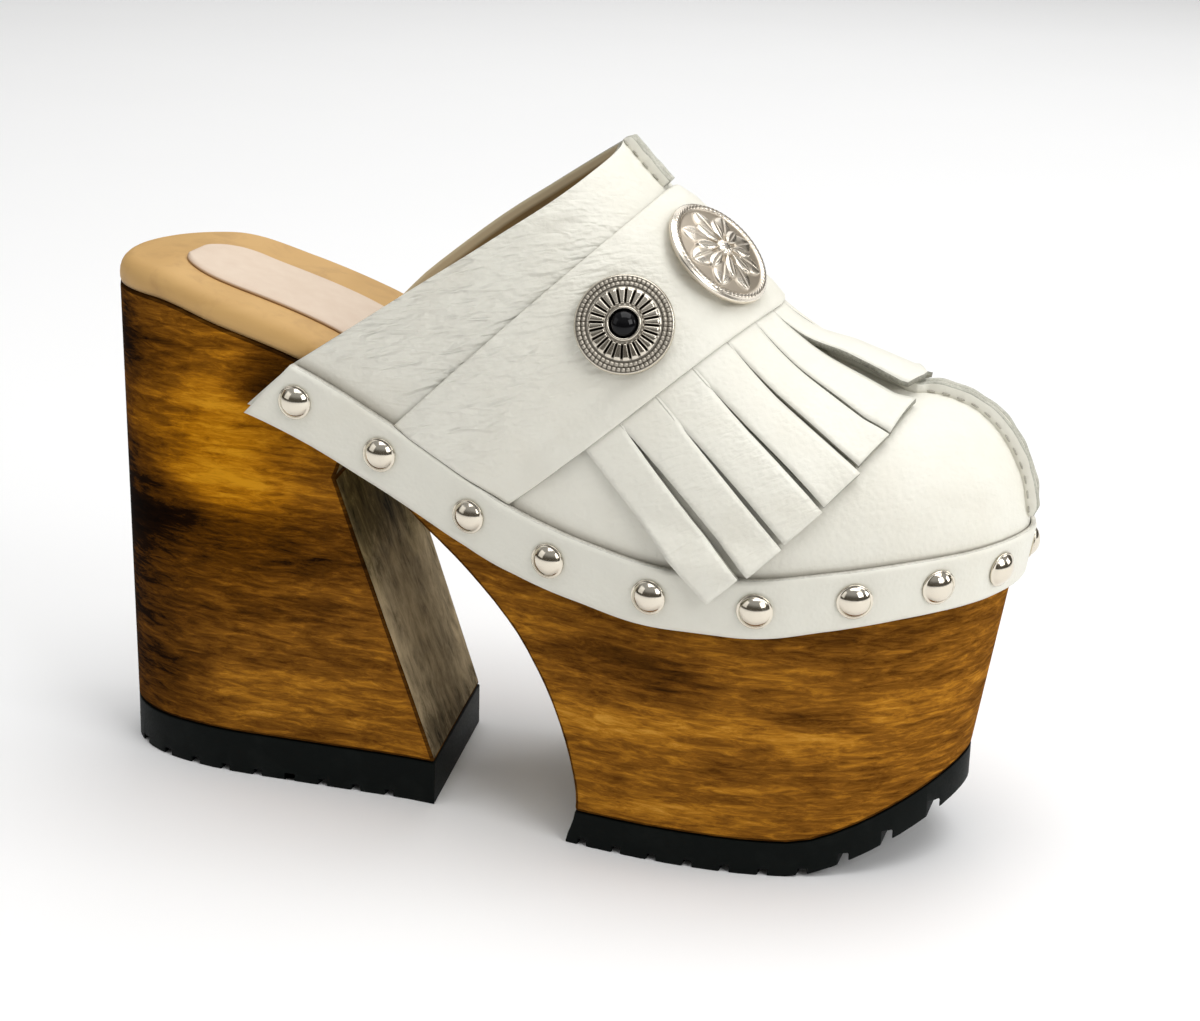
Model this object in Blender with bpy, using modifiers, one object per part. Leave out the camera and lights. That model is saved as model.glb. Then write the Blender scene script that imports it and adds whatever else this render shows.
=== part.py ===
"""Platform clog for the right foot, assembled from the pieces that a clog maker puts together.

Frame: +X points to the toe, +Y to the wearer's left (the medial side), +Z up, and the floor is z = 0.
Sizes are in millimetres until MM turns them into metres. Stations are measured from the heel's back.
"""

import math
from collections import namedtuple

import bmesh
import bpy
import numpy as np
from mathutils import Matrix, Vector

MM = 0.001
GAP = 0.3

# Sole
HEEL_RUBBER = 11.0
FOREFOOT_RUBBER = 8.5
SPRING_START = 187.0
SPRING_RISE = 16.0
SPRING_POWER = 1.35
ARCH_SKEW = 8.0
LUG_PITCH = 9.0
LUG_GROOVE = 2.2
LUG_DEPTH = 1.6
TOE_LUG_DEPTH = 3.0

# Footbed and label
FOOTBED_THICK = 7.0
INSIDE_UPPER = 1.0
LABEL_REAR = 19.0
LABEL_FRONT = 112.0
LABEL_WIDE = 28.0
LABEL_MID = -4.0
LABEL_THICK = 1.2

# Upper
WALL = 1.9
COLLAR_STATION = 59.0
COLLAR_SHEAR = 12.5
RIDGE_MID = 2.0
FULL_LATERAL = 2.6
FULL_MEDIAL = 2.3
FULL_TOE = 2.15
BELLY_LATERAL = 5.0
BELLY_MEDIAL = 2.5
SEAM_HALF = 2.0
SEAM_HIGH = 2.4
SEAM_CLEAR = 0.012
SEAM_FRONT = 0.675
SEAM_TOE = 0.984

# Band and studs
BAND_REAR = 16.0
BAND_TOE = 12.8
BAND_THICK = 2.2
STUD_RADIUS = 4.2
STUD_HIGH = 2.4
Nail = namedtuple("Nail", "lateral medial")
NAILS = (
    Nail(14.8, 7.0),
    Nail(33.5, 29.0),
    Nail(52.5, 51.0),
    Nail(73.8, 73.5),
    Nail(97.9, 96.5),
    Nail(123.8, 120.0),
    Nail(145.4, 143.5),
    Nail(169.6, 166.5),
    Nail(191.7, 187.5),
)

# Strap, as shares of the upper's length from collar to toe
STRAP_REAR_LOW = 0.137
STRAP_REAR_TOP = 0.115
STRAP_FRONT_LOW = 0.304
STRAP_FRONT_TOP = 0.400
STRAP_THICK = 2.0

# Fringe
STRIPS_PER_SIDE = 6
STRIP_PITCH = 10.3
STRIP_WIDE = 9.6
STRIP_THICK = 1.7
STRIP_LENGTHS = (36.0, 39.0, 40.5, 41.8, 42.4, 43.1, 43.0)
ROOT_TUCK = 3.5

# Conchos
FRONT_CONCHO = 28.0
SIDE_CONCHO = 23.0
STONE = 6.8
Place = namedtuple("Place", "name along across")
CONCHOS = (
    Place("front", 0.2565, 0.410),
    Place("lateral", 0.2423, 0.235),
    Place("medial", 0.2423, 0.765),
)

Rim = namedtuple("Rim", "station lateral medial low_station low_lateral low_medial")
OUTLINE = (
    Rim(0.0, 0.0, 0.0, 1.0, 0.0, 0.0),
    Rim(4.0, 14.5, 14.5, 5.0, 13.6, 13.6),
    Rim(14.0, 23.6, 23.8, 15.0, 22.2, 22.0),
    Rim(32.0, 28.6, 28.8, 32.0, 26.8, 26.0),
    Rim(60.0, 29.2, 29.0, 60.0, 27.2, 26.0),
    Rim(95.0, 31.0, 29.8, 95.0, 27.6, 26.2),
    Rim(130.0, 36.9, 34.9, 130.0, 35.8, 33.6),
    Rim(158.0, 41.2, 39.7, 157.0, 38.6, 36.7),
    Rim(182.0, 40.1, 40.4, 180.0, 36.8, 36.9),
    Rim(204.0, 33.0, 34.4, 200.0, 29.3, 30.4),
    Rim(218.5, 21.8, 24.0, 212.5, 19.1, 21.0),
    Rim(226.8, 9.4, 13.4, 219.2, 8.4, 11.6),
    Rim(230.0, -2.0, 2.0, 221.5, -1.5, 1.5),
)

Level = namedtuple("Level", "station height")
WOOD_TOP = (
    Level(0.0, 122.5),
    Level(18.0, 122.2),
    Level(38.0, 117.4),
    Level(60.0, 110.8),
    Level(83.0, 100.2),
    Level(105.0, 89.2),
    Level(118.0, 83.8),
    Level(136.0, 79.2),
    Level(157.0, 76.5),
    Level(172.0, 76.3),
    Level(192.0, 79.0),
    Level(210.0, 81.4),
    Level(230.0, 82.4),
)
RUBBER_TOP = (
    Level(0.0, HEEL_RUBBER),
    Level(98.0, HEEL_RUBBER),
    Level(126.0, FOREFOOT_RUBBER),
    Level(230.0, FOREFOOT_RUBBER),
)
INSTEP = (
    Level(129.0, 165.5),
    Level(140.0, 154.5),
    Level(152.0, 144.0),
    Level(162.0, 134.6),
    Level(172.0, 126.4),
    Level(182.0, 121.2),
    Level(195.0, 116.6),
    Level(207.3, 112.4),
    Level(212.0, 111.4),
    Level(216.2, 110.0),
    Level(219.8, 107.8),
    Level(223.0, 104.8),
    Level(225.6, 101.3),
    Level(227.9, 97.2),
    Level(229.7, 92.0),
)
ARCH = (
    Level(93.4, 0.0),
    Level(93.4, 11.2),
    Level(67.6, 83.0),
    Level(71.0, 89.5),
    Level(79.0, 84.5),
    Level(89.0, 75.3),
    Level(102.5, 64.2),
    Level(115.5, 51.0),
    Level(125.0, 35.0),
    Level(130.6, 18.0),
    Level(131.4, 8.7),
    Level(128.8, 0.0),
)

Edge = namedtuple("Edge", "inset height")
FOOTBED_EDGE = (
    Edge(0.3, GAP),
    Edge(0.0, 2.2),
    Edge(0.5, 4.6),
    Edge(1.8, 6.2),
    Edge(3.8, FOOTBED_THICK),
)

Turn = namedtuple("Turn", "radius height")
FRONT_CONCHO_PROFILE = (
    Turn(0.0, 3.4),
    Turn(5.0, 3.2),
    Turn(9.6, 2.6),
    Turn(11.4, 2.1),
    Turn(12.4, 2.5),
    Turn(13.3, 2.4),
    Turn(FRONT_CONCHO / 2, 1.6),
    Turn(FRONT_CONCHO / 2, 0.4),
    Turn(13.4, 0.0),
    Turn(0.0, 0.0),
)
SIDE_CONCHO_PROFILE = (
    Turn(0.0, 1.6),
    Turn(STONE / 2 + GAP, 1.6),
    Turn(STONE / 2 + GAP, 3.3),
    Turn(STONE / 2 + 0.9, 3.3),
    Turn(STONE / 2 + 1.4, 2.5),
    Turn(9.4, 1.7),
    Turn(10.2, 2.2),
    Turn(11.1, 2.0),
    Turn(SIDE_CONCHO / 2, 1.2),
    Turn(SIDE_CONCHO / 2, 0.3),
    Turn(11.0, 0.0),
    Turn(0.0, 0.0),
)
STONE_PROFILE = (
    Turn(0.0, 4.3),
    Turn(1.4, 4.1),
    Turn(2.6, 3.4),
    Turn(STONE / 2, 2.3),
    Turn(STONE / 2, 1.6 + GAP),
    Turn(0.0, 1.6 + GAP),
)
STUD_PROFILE = (
    Turn(0.0, STUD_HIGH),
    Turn(2.1, 2.0),
    Turn(3.5, 1.1),
    Turn(STUD_RADIUS, 0.0),
    Turn(0.0, 0.0),
)

Finish = namedtuple("Finish", "colour roughness metallic")
WOOD = Finish((0.30, 0.13, 0.05), 0.35, 0.0)
PALE_WOOD = Finish((0.62, 0.43, 0.26), 0.5, 0.0)
PALE_LEATHER = Finish((0.70, 0.55, 0.45), 0.6, 0.0)
RUBBER = Finish((0.02, 0.022, 0.024), 0.7, 0.0)
WHITE_LEATHER = Finish((0.86, 0.84, 0.78), 0.5, 0.0)
NICKEL = Finish((0.78, 0.77, 0.74), 0.2, 1.0)
SILVER = Finish((0.60, 0.58, 0.54), 0.35, 1.0)
BLACK_STONE = Finish((0.01, 0.01, 0.012), 0.08, 0.0)


def smooth(rows, at):
    """Height at a station, on a curve through the rows that never overshoots them."""
    xs, ys = np.array(rows, float).T
    step = np.diff(xs)
    rise = np.diff(ys) / step
    both = rise[:-1] * rise[1:]
    total = rise[:-1] + rise[1:]
    inner = np.where(both > 0, 2 * both / np.where(both > 0, total, 1), 0)
    slope = np.concatenate(([rise[0]], inner, [rise[-1]]))
    at = np.asarray(at, float)
    i = np.clip(np.searchsorted(xs, at) - 1, 0, len(xs) - 2)
    h = step[i]
    t = (at - xs[i]) / h
    start = (1 - t) ** 2 * ((1 + 2 * t) * ys[i] + t * h * slope[i])
    end = t * t * ((3 - 2 * t) * ys[i + 1] + (t - 1) * h * slope[i + 1])
    return start + end


def through(points, per_span, closed=False):
    """Centripetal curve through the points."""
    p = np.array(points, float)
    n = len(p)
    found = []
    for i in range(n if closed else n - 1):
        b, c = p[i], p[(i + 1) % n]
        a = p[i - 1] if closed or i else 2 * b - c
        d = p[(i + 2) % n] if closed or i + 2 < n else 2 * c - b
        ta, tb, tc = np.cumsum([np.linalg.norm(q) ** 0.5 for q in (b - a, c - b, d - c)])
        for t in np.linspace(ta, tb, per_span, endpoint=False):
            ab = (a * (ta - t) + b * t) / ta
            bc = (b * (tb - t) + c * (t - ta)) / (tb - ta)
            cd = (c * (tc - t) + d * (t - tb)) / (tc - tb)
            abc = (ab * (tb - t) + bc * t) / tb
            bcd = (bc * (tc - t) + cd * (t - ta)) / (tc - ta)
            found.append((abc * (tb - t) + bcd * (t - ta)) / (tb - ta))
    return np.array(found if closed else found + [p[-1]])


def rim_loop(per_span, low=False):
    """Sole outline seen from above: heel back, lateral side, toe tip, medial side."""
    if low:
        rows = [(r.low_station, r.low_lateral, r.low_medial) for r in OUTLINE]
    else:
        rows = [(r.station, r.lateral, r.medial) for r in OUTLINE]
    lateral = [(x, -y) for x, y, _ in rows]
    medial = [(x, y) for x, _, y in rows[-2:0:-1]]
    return through(lateral + medial, per_span, closed=True)


def loop_normals(loop):
    """Outward directions along a loop that runs anticlockwise from above."""
    along = np.roll(loop, -1, 0) - np.roll(loop, 1, 0)
    out = np.stack([along[:, 1], -along[:, 0]], 1)
    return out / np.linalg.norm(out, axis=1)[:, None]


def spring(station):
    """Rise of the sole's underside toward the toe."""
    reach = OUTLINE[-1].low_station - SPRING_START
    share = np.clip((np.asarray(station) - SPRING_START) / reach, 0, None)
    return SPRING_RISE * share ** SPRING_POWER


class Side:
    """One side of the sole's rim, measured back from the toe tip."""

    def __init__(self, sign, per_span=24):
        top, low = rim_loop(per_span), rim_loop(per_span, low=True)
        out = loop_normals(top)
        toe = (len(OUTLINE) - 1) * per_span
        order = np.arange(toe, -1, -1) if sign < 0 else np.arange(toe, len(top) + 1) % len(top)
        self.top = np.column_stack([top, smooth(WOOD_TOP, top[:, 0])])[order]
        self.low = np.column_stack([low, smooth(RUBBER_TOP, low[:, 0]) + spring(low[:, 0])])[order]
        self.out = np.column_stack([out, np.zeros(len(out))])[order]
        steps = np.linalg.norm(np.diff(self.top[:, :2], axis=0), axis=1)
        self.distance = np.concatenate(([0.0], np.cumsum(steps)))
        self.length = self.distance[np.argmax(self.top[:, 0] <= COLLAR_STATION)]

    def pick(self, rows, distance):
        return np.stack([np.interp(distance, self.distance, rows[:, k]) for k in range(3)], -1)

    def wall(self, distance, drop, out):
        """Point on the wood's side, a drop below its top edge, moved out from it."""
        top, low = self.pick(self.top, distance), self.pick(self.low, distance)
        share = np.asarray(drop) / (top[..., 2] - low[..., 2])
        direction = self.pick(self.out, distance)
        direction = direction / np.linalg.norm(direction, axis=-1, keepdims=True)
        return top + (low - top) * share[..., None] + direction * np.asarray(out)[..., None]

    def band_drop(self, distance):
        """Height of the band, measured straight down from the wood's top edge."""
        here, ahead = self.pick(self.top, distance + 1.0), self.pick(self.top, distance - 1.0)
        slope = (here[..., 2] - ahead[..., 2]) / 2.0
        wide = BAND_TOE + (BAND_REAR - BAND_TOE) * np.asarray(distance) / self.length
        return wide * np.sqrt(1 + slope ** 2)

    def shear(self, distance):
        """How far the band's low edge runs back past its top edge, at the diagonal rear cut."""
        near = np.clip(1 - (self.length - np.asarray(distance)) / 40.0, 0, None)
        return COLLAR_SHEAR * near ** 2


LATERAL, MEDIAL = Side(-1), Side(1)
TOE = LATERAL.wall(np.array(0.0), 0.0, GAP + WALL)
RIDGE = through([(r.station, r.height) for r in INSTEP] + [(TOE[0], TOE[2])], 24)
RIDGE_SHARE = np.concatenate(([0.0], np.cumsum(np.linalg.norm(np.diff(RIDGE, axis=0), axis=1))))
RIDGE_SHARE = RIDGE_SHARE / RIDGE_SHARE[-1]


def upper(along, across):
    """Outer face of the upper.

    along runs from the collar (0) to the toe (1); across from the lateral rim (0), over the ridge
    (0.5), to the medial rim (1). Past the rim it goes on down, over the band.
    """
    along, across = np.broadcast_arrays(np.asarray(along, float), np.asarray(across, float))
    lateral = LATERAL.wall(LATERAL.length * (1 - along), 0.0, GAP + WALL)
    medial = MEDIAL.wall(MEDIAL.length * (1 - along), 0.0, GAP + WALL)
    rim = np.where((across < 0.5)[..., None], lateral, medial)
    ridge_x = np.interp(along, RIDGE_SHARE, RIDGE[:, 0])
    ridge_z = np.interp(along, RIDGE_SHARE, RIDGE[:, 1])
    ridge = np.stack([ridge_x, np.full(along.shape, RIDGE_MID), ridge_z], -1)
    turn = math.pi * np.where(across < 0.5, across, 1 - across)
    over = np.clip(turn, 0, None)
    full = np.where(across < 0.5, FULL_LATERAL, FULL_MEDIAL)
    full = full + (FULL_TOE - full) * np.clip((along - 0.3) / 0.4, 0, 1)
    swell = (np.abs(np.cos(over)) ** full + np.abs(np.sin(over)) ** full) ** (-1 / full)
    inward = 1 - swell * np.cos(over)
    upward = swell * np.sin(over) + np.clip(turn, None, 0)
    toe = np.clip((along - 0.35) / 0.4, 0, 1)
    toe = toe * toe * (3 - 2 * toe)
    forward = (1 - toe) * upward + toe * inward
    belly = np.where(across < 0.5, -BELLY_LATERAL, BELLY_MEDIAL)
    belly = belly * np.clip(1 - along / 0.5, 0, 1) * np.sin(2 * over)
    face = rim + (ridge - rim) * np.stack([forward, inward, upward], -1)
    return face + np.stack([0 * belly, belly, 0 * belly], -1)


def upper_slopes(along, across):
    """Directions of the upper's face, toward the toe and across it, and its outward normal."""
    low = np.clip(np.asarray(along) - 0.004, 0, 0.992)
    high = np.clip(np.asarray(along) + 0.004, 0.008, 1)
    toward = (upper(high, across) - upper(low, across)) / (high - low)[..., None]
    across = np.asarray(across)
    over = (upper(along, across + 0.003) - upper(along, across - 0.003)) / 0.006
    normal = np.cross(toward, over)
    return toward, over, normal / np.linalg.norm(normal, axis=-1, keepdims=True)


def on_upper(along, across, off):
    return upper(along, across) + upper_slopes(along, across)[2] * np.asarray(off)[..., None]


def strap_rear(across):
    """Rear edge of the strap, as a share of the upper's length."""
    return STRAP_REAR_TOP + (STRAP_REAR_LOW - STRAP_REAR_TOP) * np.abs(1 - 2 * np.asarray(across))


def strap_front(across):
    """Front edge of the strap, as a share of the upper's length."""
    rise = 1 - np.abs(1 - 2 * np.asarray(across)) ** 1.5
    return STRAP_FRONT_LOW + (STRAP_FRONT_TOP - STRAP_FRONT_LOW) * rise


def clear_scene():
    for thing in list(bpy.data.objects):
        bpy.data.objects.remove(thing, do_unlink=True)


def new_collection(name):
    group = bpy.data.collections.new(name)
    bpy.context.scene.collection.children.link(group)
    return group


def material(name, finish):
    made = bpy.data.materials.get(name)
    if made is None:
        made = bpy.data.materials.new(name)
        made.use_nodes = True
        shader = made.node_tree.nodes["Principled BSDF"]
        shader.inputs["Base Color"].default_value = (*finish.colour, 1.0)
        shader.inputs["Roughness"].default_value = finish.roughness
        shader.inputs["Metallic"].default_value = finish.metallic
    return made


def add_mesh(name, points, faces):
    """Mesh in metres with repeated points welded."""
    mesh = bpy.data.meshes.new(name)
    mesh.from_pydata((np.asarray(points) * MM).tolist(), [], faces)
    work = bmesh.new()
    work.from_mesh(mesh)
    bmesh.ops.remove_doubles(work, verts=work.verts, dist=1e-6)
    bmesh.ops.recalc_face_normals(work, faces=work.faces)
    work.to_mesh(mesh)
    work.free()
    return mesh


def add_part(name, mesh, look, finish, sharp=40.0):
    part = bpy.data.objects.new(name, mesh)
    if not mesh.materials:
        mesh.materials.append(material(look, finish))
    mesh.shade_smooth()
    mesh.set_sharp_from_angle(angle=math.radians(sharp))
    PARTS.objects.link(part)
    part.parent = CLOG
    return part


def add_cutter(name, mesh):
    cutter = bpy.data.objects.new(name, mesh)
    cutter.hide_render = True
    cutter.display_type = "WIRE"
    CUTTERS.objects.link(cutter)
    cutter.parent = CLOG
    return cutter


def cut(part, cutter):
    step = part.modifiers.new(cutter.name, "BOOLEAN")
    step.operation = "DIFFERENCE"
    step.solver = "EXACT"
    step.object = cutter


def ring_solid(name, rings):
    """Closed solid through stacked rings of a sole loop, capped across from side to side."""
    count = len(rings[0])
    half = count // 2
    faces = []
    for level in range(len(rings) - 1):
        for i in range(count):
            j = (i + 1) % count
            a, b = level * count, (level + 1) * count
            faces.append((a + i, a + j, b + j, b + i))
    for level, flip in ((0, True), (len(rings) - 1, False)):
        base = level * count
        for i in range(half):
            loop = [i, i + 1, (count - i - 1) % count, (count - i) % count]
            loop = [base + k for k in dict.fromkeys(loop)]
            faces.append(tuple(loop[::-1] if flip else loop))
    return add_mesh(name, np.concatenate(rings), faces)


def shell(name, outer, inner, close_end=True):
    """Closed wall between two grids of points."""
    rows, columns = outer.shape[:2]
    points = np.concatenate([outer.reshape(-1, 3), inner.reshape(-1, 3)])
    back = rows * columns

    def at(row, column):
        return row * columns + column

    faces = []
    for i in range(rows - 1):
        for j in range(columns - 1):
            quad = (at(i, j), at(i + 1, j), at(i + 1, j + 1), at(i, j + 1))
            faces.append(quad)
            faces.append(tuple(back + k for k in quad[::-1]))
        for j in (0, columns - 1):
            faces.append((at(i, j), at(i + 1, j), back + at(i + 1, j), back + at(i, j)))
    for i in (0, rows - 1) if close_end else (0,):
        for j in range(columns - 1):
            faces.append((at(i, j), at(i, j + 1), back + at(i, j + 1), back + at(i, j)))
    return add_mesh(name, points, faces)


def turned(name, profile, steps):
    """Mesh turned from a profile about its own Z."""
    mesh = bpy.data.meshes.new(name)
    points = [(t.radius * MM, 0.0, t.height * MM) for t in profile]
    mesh.from_pydata(points, [(i, i + 1) for i in range(len(points) - 1)], [])
    guide = bpy.data.objects.new(name, mesh)
    screw = guide.modifiers.new("turn", "SCREW")
    screw.steps = steps
    screw.render_steps = steps
    screw.use_merge_vertices = True
    screw.merge_threshold = 0.00001
    CUTTERS.objects.link(guide)
    made = bpy.data.meshes.new_from_object(guide.evaluated_get(bpy.context.evaluated_depsgraph_get()))
    made.name = name
    bpy.data.objects.remove(guide, do_unlink=True)
    return made


def seat(part, point, normal):
    """Stand a turned piece on a face."""
    part.location = Vector(point) * MM
    part.rotation_euler = Vector(normal).to_track_quat("Z", "Y").to_euler()


def slab_mesh(name, outline, half_deep):
    """Mesh of a flat outline in the XZ plane, thickened along Y."""
    curve = bpy.data.curves.new(name, "CURVE")
    curve.dimensions = "2D"
    curve.fill_mode = "BOTH"
    curve.extrude = half_deep * MM
    line = curve.splines.new("POLY")
    line.points.add(len(outline) - 1)
    for point, (x, z) in zip(line.points, outline):
        point.co = (x * MM, z * MM, 0.0, 1.0)
    line.use_cyclic_u = True
    guide = bpy.data.objects.new(name, curve)
    CUTTERS.objects.link(guide)
    mesh = bpy.data.meshes.new_from_object(guide.evaluated_get(bpy.context.evaluated_depsgraph_get()))
    bpy.data.objects.remove(guide, do_unlink=True)
    work = bmesh.new()
    work.from_mesh(mesh)
    bmesh.ops.remove_doubles(work, verts=work.verts, dist=1e-6)
    bmesh.ops.rotate(work, verts=work.verts, matrix=Matrix.Rotation(math.pi / 2, 3, "X"))
    bmesh.ops.recalc_face_normals(work, faces=work.faces)
    work.to_mesh(mesh)
    work.free()
    return mesh


def box_mesh(name, boxes):
    """Mesh of separate boxes, each given by its low and high corner."""
    mesh = bpy.data.meshes.new(name)
    work = bmesh.new()
    for low, high in boxes:
        low, high = Vector(low) * MM, Vector(high) * MM
        place = Matrix.Translation((low + high) / 2) @ Matrix.Diagonal((*(high - low), 1.0))
        bmesh.ops.create_cube(work, size=1.0, matrix=place)
    work.to_mesh(mesh)
    work.free()
    return mesh


def build_sole():
    """Wooden sole, its two rubber pieces, the footbed and the label."""
    top, low = rim_loop(4), rim_loop(4, low=True)
    rise = spring(low[:, 0])
    under = smooth(RUBBER_TOP, low[:, 0]) + rise
    wood = [np.column_stack([low, under + GAP]), np.column_stack([top, smooth(WOOD_TOP, top[:, 0])])]

    breast = [(r.station, r.height) for r in ARCH[:3]]
    crown = through([(r.station, r.height) for r in ARCH[2:]], 4)
    outline = [(ARCH[0].station, -6.0)] + breast + crown[1:].tolist() + [(ARCH[-1].station, -6.0)]
    arch = add_cutter("arch_gap", slab_mesh("arch_gap", outline, 80.0))
    pivot = Vector((ARCH[0].station * MM, -27.0 * MM, 0.0))
    turn = Matrix.Rotation(math.radians(ARCH_SKEW), 4, "Z")
    arch.data.transform(Matrix.Translation(pivot) @ turn @ Matrix.Translation(-pivot))

    sole = add_part("sole_wood", ring_solid("sole_wood", wood), "wood", WOOD)
    cut(sole, arch)

    middle = (ARCH[0].station + ARCH[-1].station) / 2
    ahead = add_cutter("ahead", box_mesh("ahead", [((middle, -70, -10), (260, 70, 60))]))
    behind = add_cutter("behind", box_mesh("behind", [((-20, -70, -10), (middle, 70, 60))]))
    rubber = [np.column_stack([low, rise]), np.column_stack([low, under])]
    grooves = {"heel": [], "forefoot": []}
    for k in range(1, 25):
        x = k * LUG_PITCH
        lift = float(spring(x))
        deep = LUG_DEPTH + (TOE_LUG_DEPTH - LUG_DEPTH) * min(1.0, 3 * lift / SPRING_RISE)
        place = ((x - LUG_GROOVE / 2, -70, -5), (x + LUG_GROOVE / 2, 70, lift + deep))
        if x < ARCH[0].station - 6:
            grooves["heel"].append(place)
        elif ARCH[-1].station + 3 < x < OUTLINE[-1].low_station - 4:
            grooves["forefoot"].append(place)
    for end, away in (("heel", ahead), ("forefoot", behind)):
        name = "outsole_" + end
        piece = add_part(name, ring_solid(name, rubber), "rubber", RUBBER)
        cut(piece, arch)
        cut(piece, away)
        cut(piece, add_cutter("lugs_" + end, box_mesh("lugs_" + end, grooves[end])))

    out = loop_normals(top)
    rings = []
    for edge in FOOTBED_EDGE:
        inside = INSIDE_UPPER * np.clip((top[:, 0] - COLLAR_STATION - 4.0) / 14.0, 0, 1)
        ring = top - out * (edge.inset + inside)[:, None]
        rings.append(np.column_stack([ring, smooth(WOOD_TOP, ring[:, 0]) + edge.height]))
    add_part("footbed", ring_solid("footbed", rings), "pale_wood", PALE_WOOD, 60.0)

    half = LABEL_WIDE / 2
    turns = np.linspace(0, math.pi / 2, 7)
    straight = np.linspace(LABEL_REAR + half, LABEL_FRONT, 8)[1:]
    stations = np.concatenate([LABEL_REAR + half * (1 - np.cos(turns)), straight])
    reach = np.concatenate([half * np.sin(turns), np.full(len(straight), half)])
    reach[0] = 2.0
    sides = LABEL_MID + reach[:, None] * np.linspace(-1, 1, 5)[None, :]
    floor = np.repeat((smooth(WOOD_TOP, stations) + FOOTBED_THICK + GAP)[:, None], 5, 1)
    across = np.repeat(stations[:, None], 5, 1)
    under = np.stack([across, sides, floor], -1)
    pad = shell("heel_label", under + (0, 0, LABEL_THICK), under)
    add_part("heel_label", pad, "pale_leather", PALE_LEATHER)


def seam_height(along):
    """The turned-up centre seam shows behind the strap and in front of the fringe."""
    rear = along < STRAP_REAR_TOP - SEAM_CLEAR / 2
    front = (along > SEAM_FRONT) & (along < SEAM_TOE + 0.001)
    return np.where(rear | front, SEAM_HIGH, 0.0)


def build_upper():
    """Hollow upper: rows run from the collar to the toe, columns from rim to rim over the ridge."""
    rear = STRAP_REAR_TOP - SEAM_CLEAR
    ends = [rear, rear + SEAM_CLEAR / 2, SEAM_FRONT, SEAM_FRONT + 0.002, SEAM_TOE, SEAM_TOE + 0.004]
    along = np.unique(np.concatenate([np.linspace(0, 0.9, 28), np.linspace(0.9, 1, 6), ends]))
    lateral, medial = upper(along, 0.0), upper(along, 1.0)
    spread = np.minimum(RIDGE_MID - lateral[:, 1], medial[:, 1] - RIDGE_MID)
    seam = np.minimum(SEAM_HALF, 0.4 * spread) / np.maximum(math.pi * spread, 1e-6)
    shares = np.linspace(0, 1, 9)[1:-1]
    columns = [0.0 * seam]
    for share in shares:
        columns.append((0.5 - 1.25 * seam) * share)
    columns += [0.5 - 1.12 * seam, 0.5 - seam]
    columns += [1 - c for c in columns[::-1]]
    across = np.stack(columns, 1)
    high = np.zeros_like(across)
    middle = across.shape[1] // 2
    high[:, middle - 1:middle + 1] = seam_height(along)[:, None]
    rows = np.repeat(along[:, None], across.shape[1], 1)
    face, normal = upper(rows, across), upper_slopes(np.clip(rows, 0, 0.994), across)[2]
    outer, inner = face + normal * high[..., None], face - normal * WALL

    margins = []
    for side in (LATERAL, MEDIAL):
        distance = side.length * (1 - along)
        lines = []
        for share in (1.0, 0.5, 0.0):
            back = distance + side.shear(distance) * share
            drop = (side.band_drop(distance) - 1.5) * share
            lines.append((side.wall(back, drop, GAP + WALL), side.wall(back, drop, GAP)))
        margins.append(lines)
    outer = np.concatenate([np.stack([m[0] for m in margins[0]], 1), outer[:, 1:-1],
                            np.stack([m[0] for m in margins[1][::-1]], 1)], 1)
    inner = np.concatenate([np.stack([m[1] for m in margins[0]], 1), inner[:, 1:-1],
                            np.stack([m[1] for m in margins[1][::-1]], 1)], 1)
    outer[-1, 2:-2], inner[-1, 2:-2] = outer[-1, 2], inner[-1, 2]
    wall = shell("upper", outer, inner, close_end=False)
    add_part("upper", wall, "white_leather", WHITE_LEATHER, 50.0)


def build_band():
    """Welt band with its nails."""
    low_out = GAP + WALL + GAP
    rows = []
    for side, order in ((LATERAL, -1), (MEDIAL, 1)):
        distance = np.linspace(0, side.length, 39)[::order]
        distance = distance if order < 0 else distance[1:]
        for d in distance:
            back, drop = side.shear(d), side.band_drop(d)
            rows.append([(side, d + back * share, drop * share) for share in (1.0, 0.5, 0.0)])
    grids = []
    for out in (low_out + BAND_THICK, low_out):
        grids.append(np.array([[side.wall(d, drop, out) for side, d, drop in row] for row in rows]))
    add_part("welt_band", shell("welt_band", *grids), "white_leather", WHITE_LEATHER)

    head = turned("stud", STUD_PROFILE, 12)
    for side, label in ((LATERAL, "lateral"), (MEDIAL, "medial")):
        for k, nail in enumerate(NAILS):
            back = getattr(nail, label)
            drop = side.band_drop(back) / 2
            face = low_out + BAND_THICK
            ahead = side.wall(back + 1.0, drop, face) - side.wall(back - 1.0, drop, face)
            down = side.wall(back, drop + 2.0, face) - side.wall(back, drop - 2.0, face)
            direction = np.cross(ahead, down)
            direction = direction * np.sign(direction @ side.pick(side.out, back))
            direction = direction / np.linalg.norm(direction)
            point = side.wall(back, drop, face) + direction * GAP
            stud = add_part("stud_%s_%d" % (label, k + 1), head, "nickel", NICKEL)
            seat(stud, point, direction)


def fringe_lift(across):
    """The strap's front rides over the fringe's root, and lies flat past its ends."""
    reach = np.abs(np.asarray(across) - 0.5)
    share = np.clip((0.47 - reach) / 0.05, 0, 1)
    return share * share * (3 - 2 * share)


def strap_grid(across, share, extra):
    """Points of the strap over the upper: share runs from its rear edge (0) to its front edge (1)."""
    rear, front = strap_rear(across)[:, None], strap_front(across)[:, None]
    along = rear + (front - rear) * share[None, :]
    sides = np.repeat(across[:, None], len(share), 1)
    rise = np.clip((share - 0.78) / 0.1, 0, 1)[None, :] * fringe_lift(across)[:, None]
    return on_upper(along, sides, GAP + rise * (STRIP_THICK + GAP) + extra)


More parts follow.
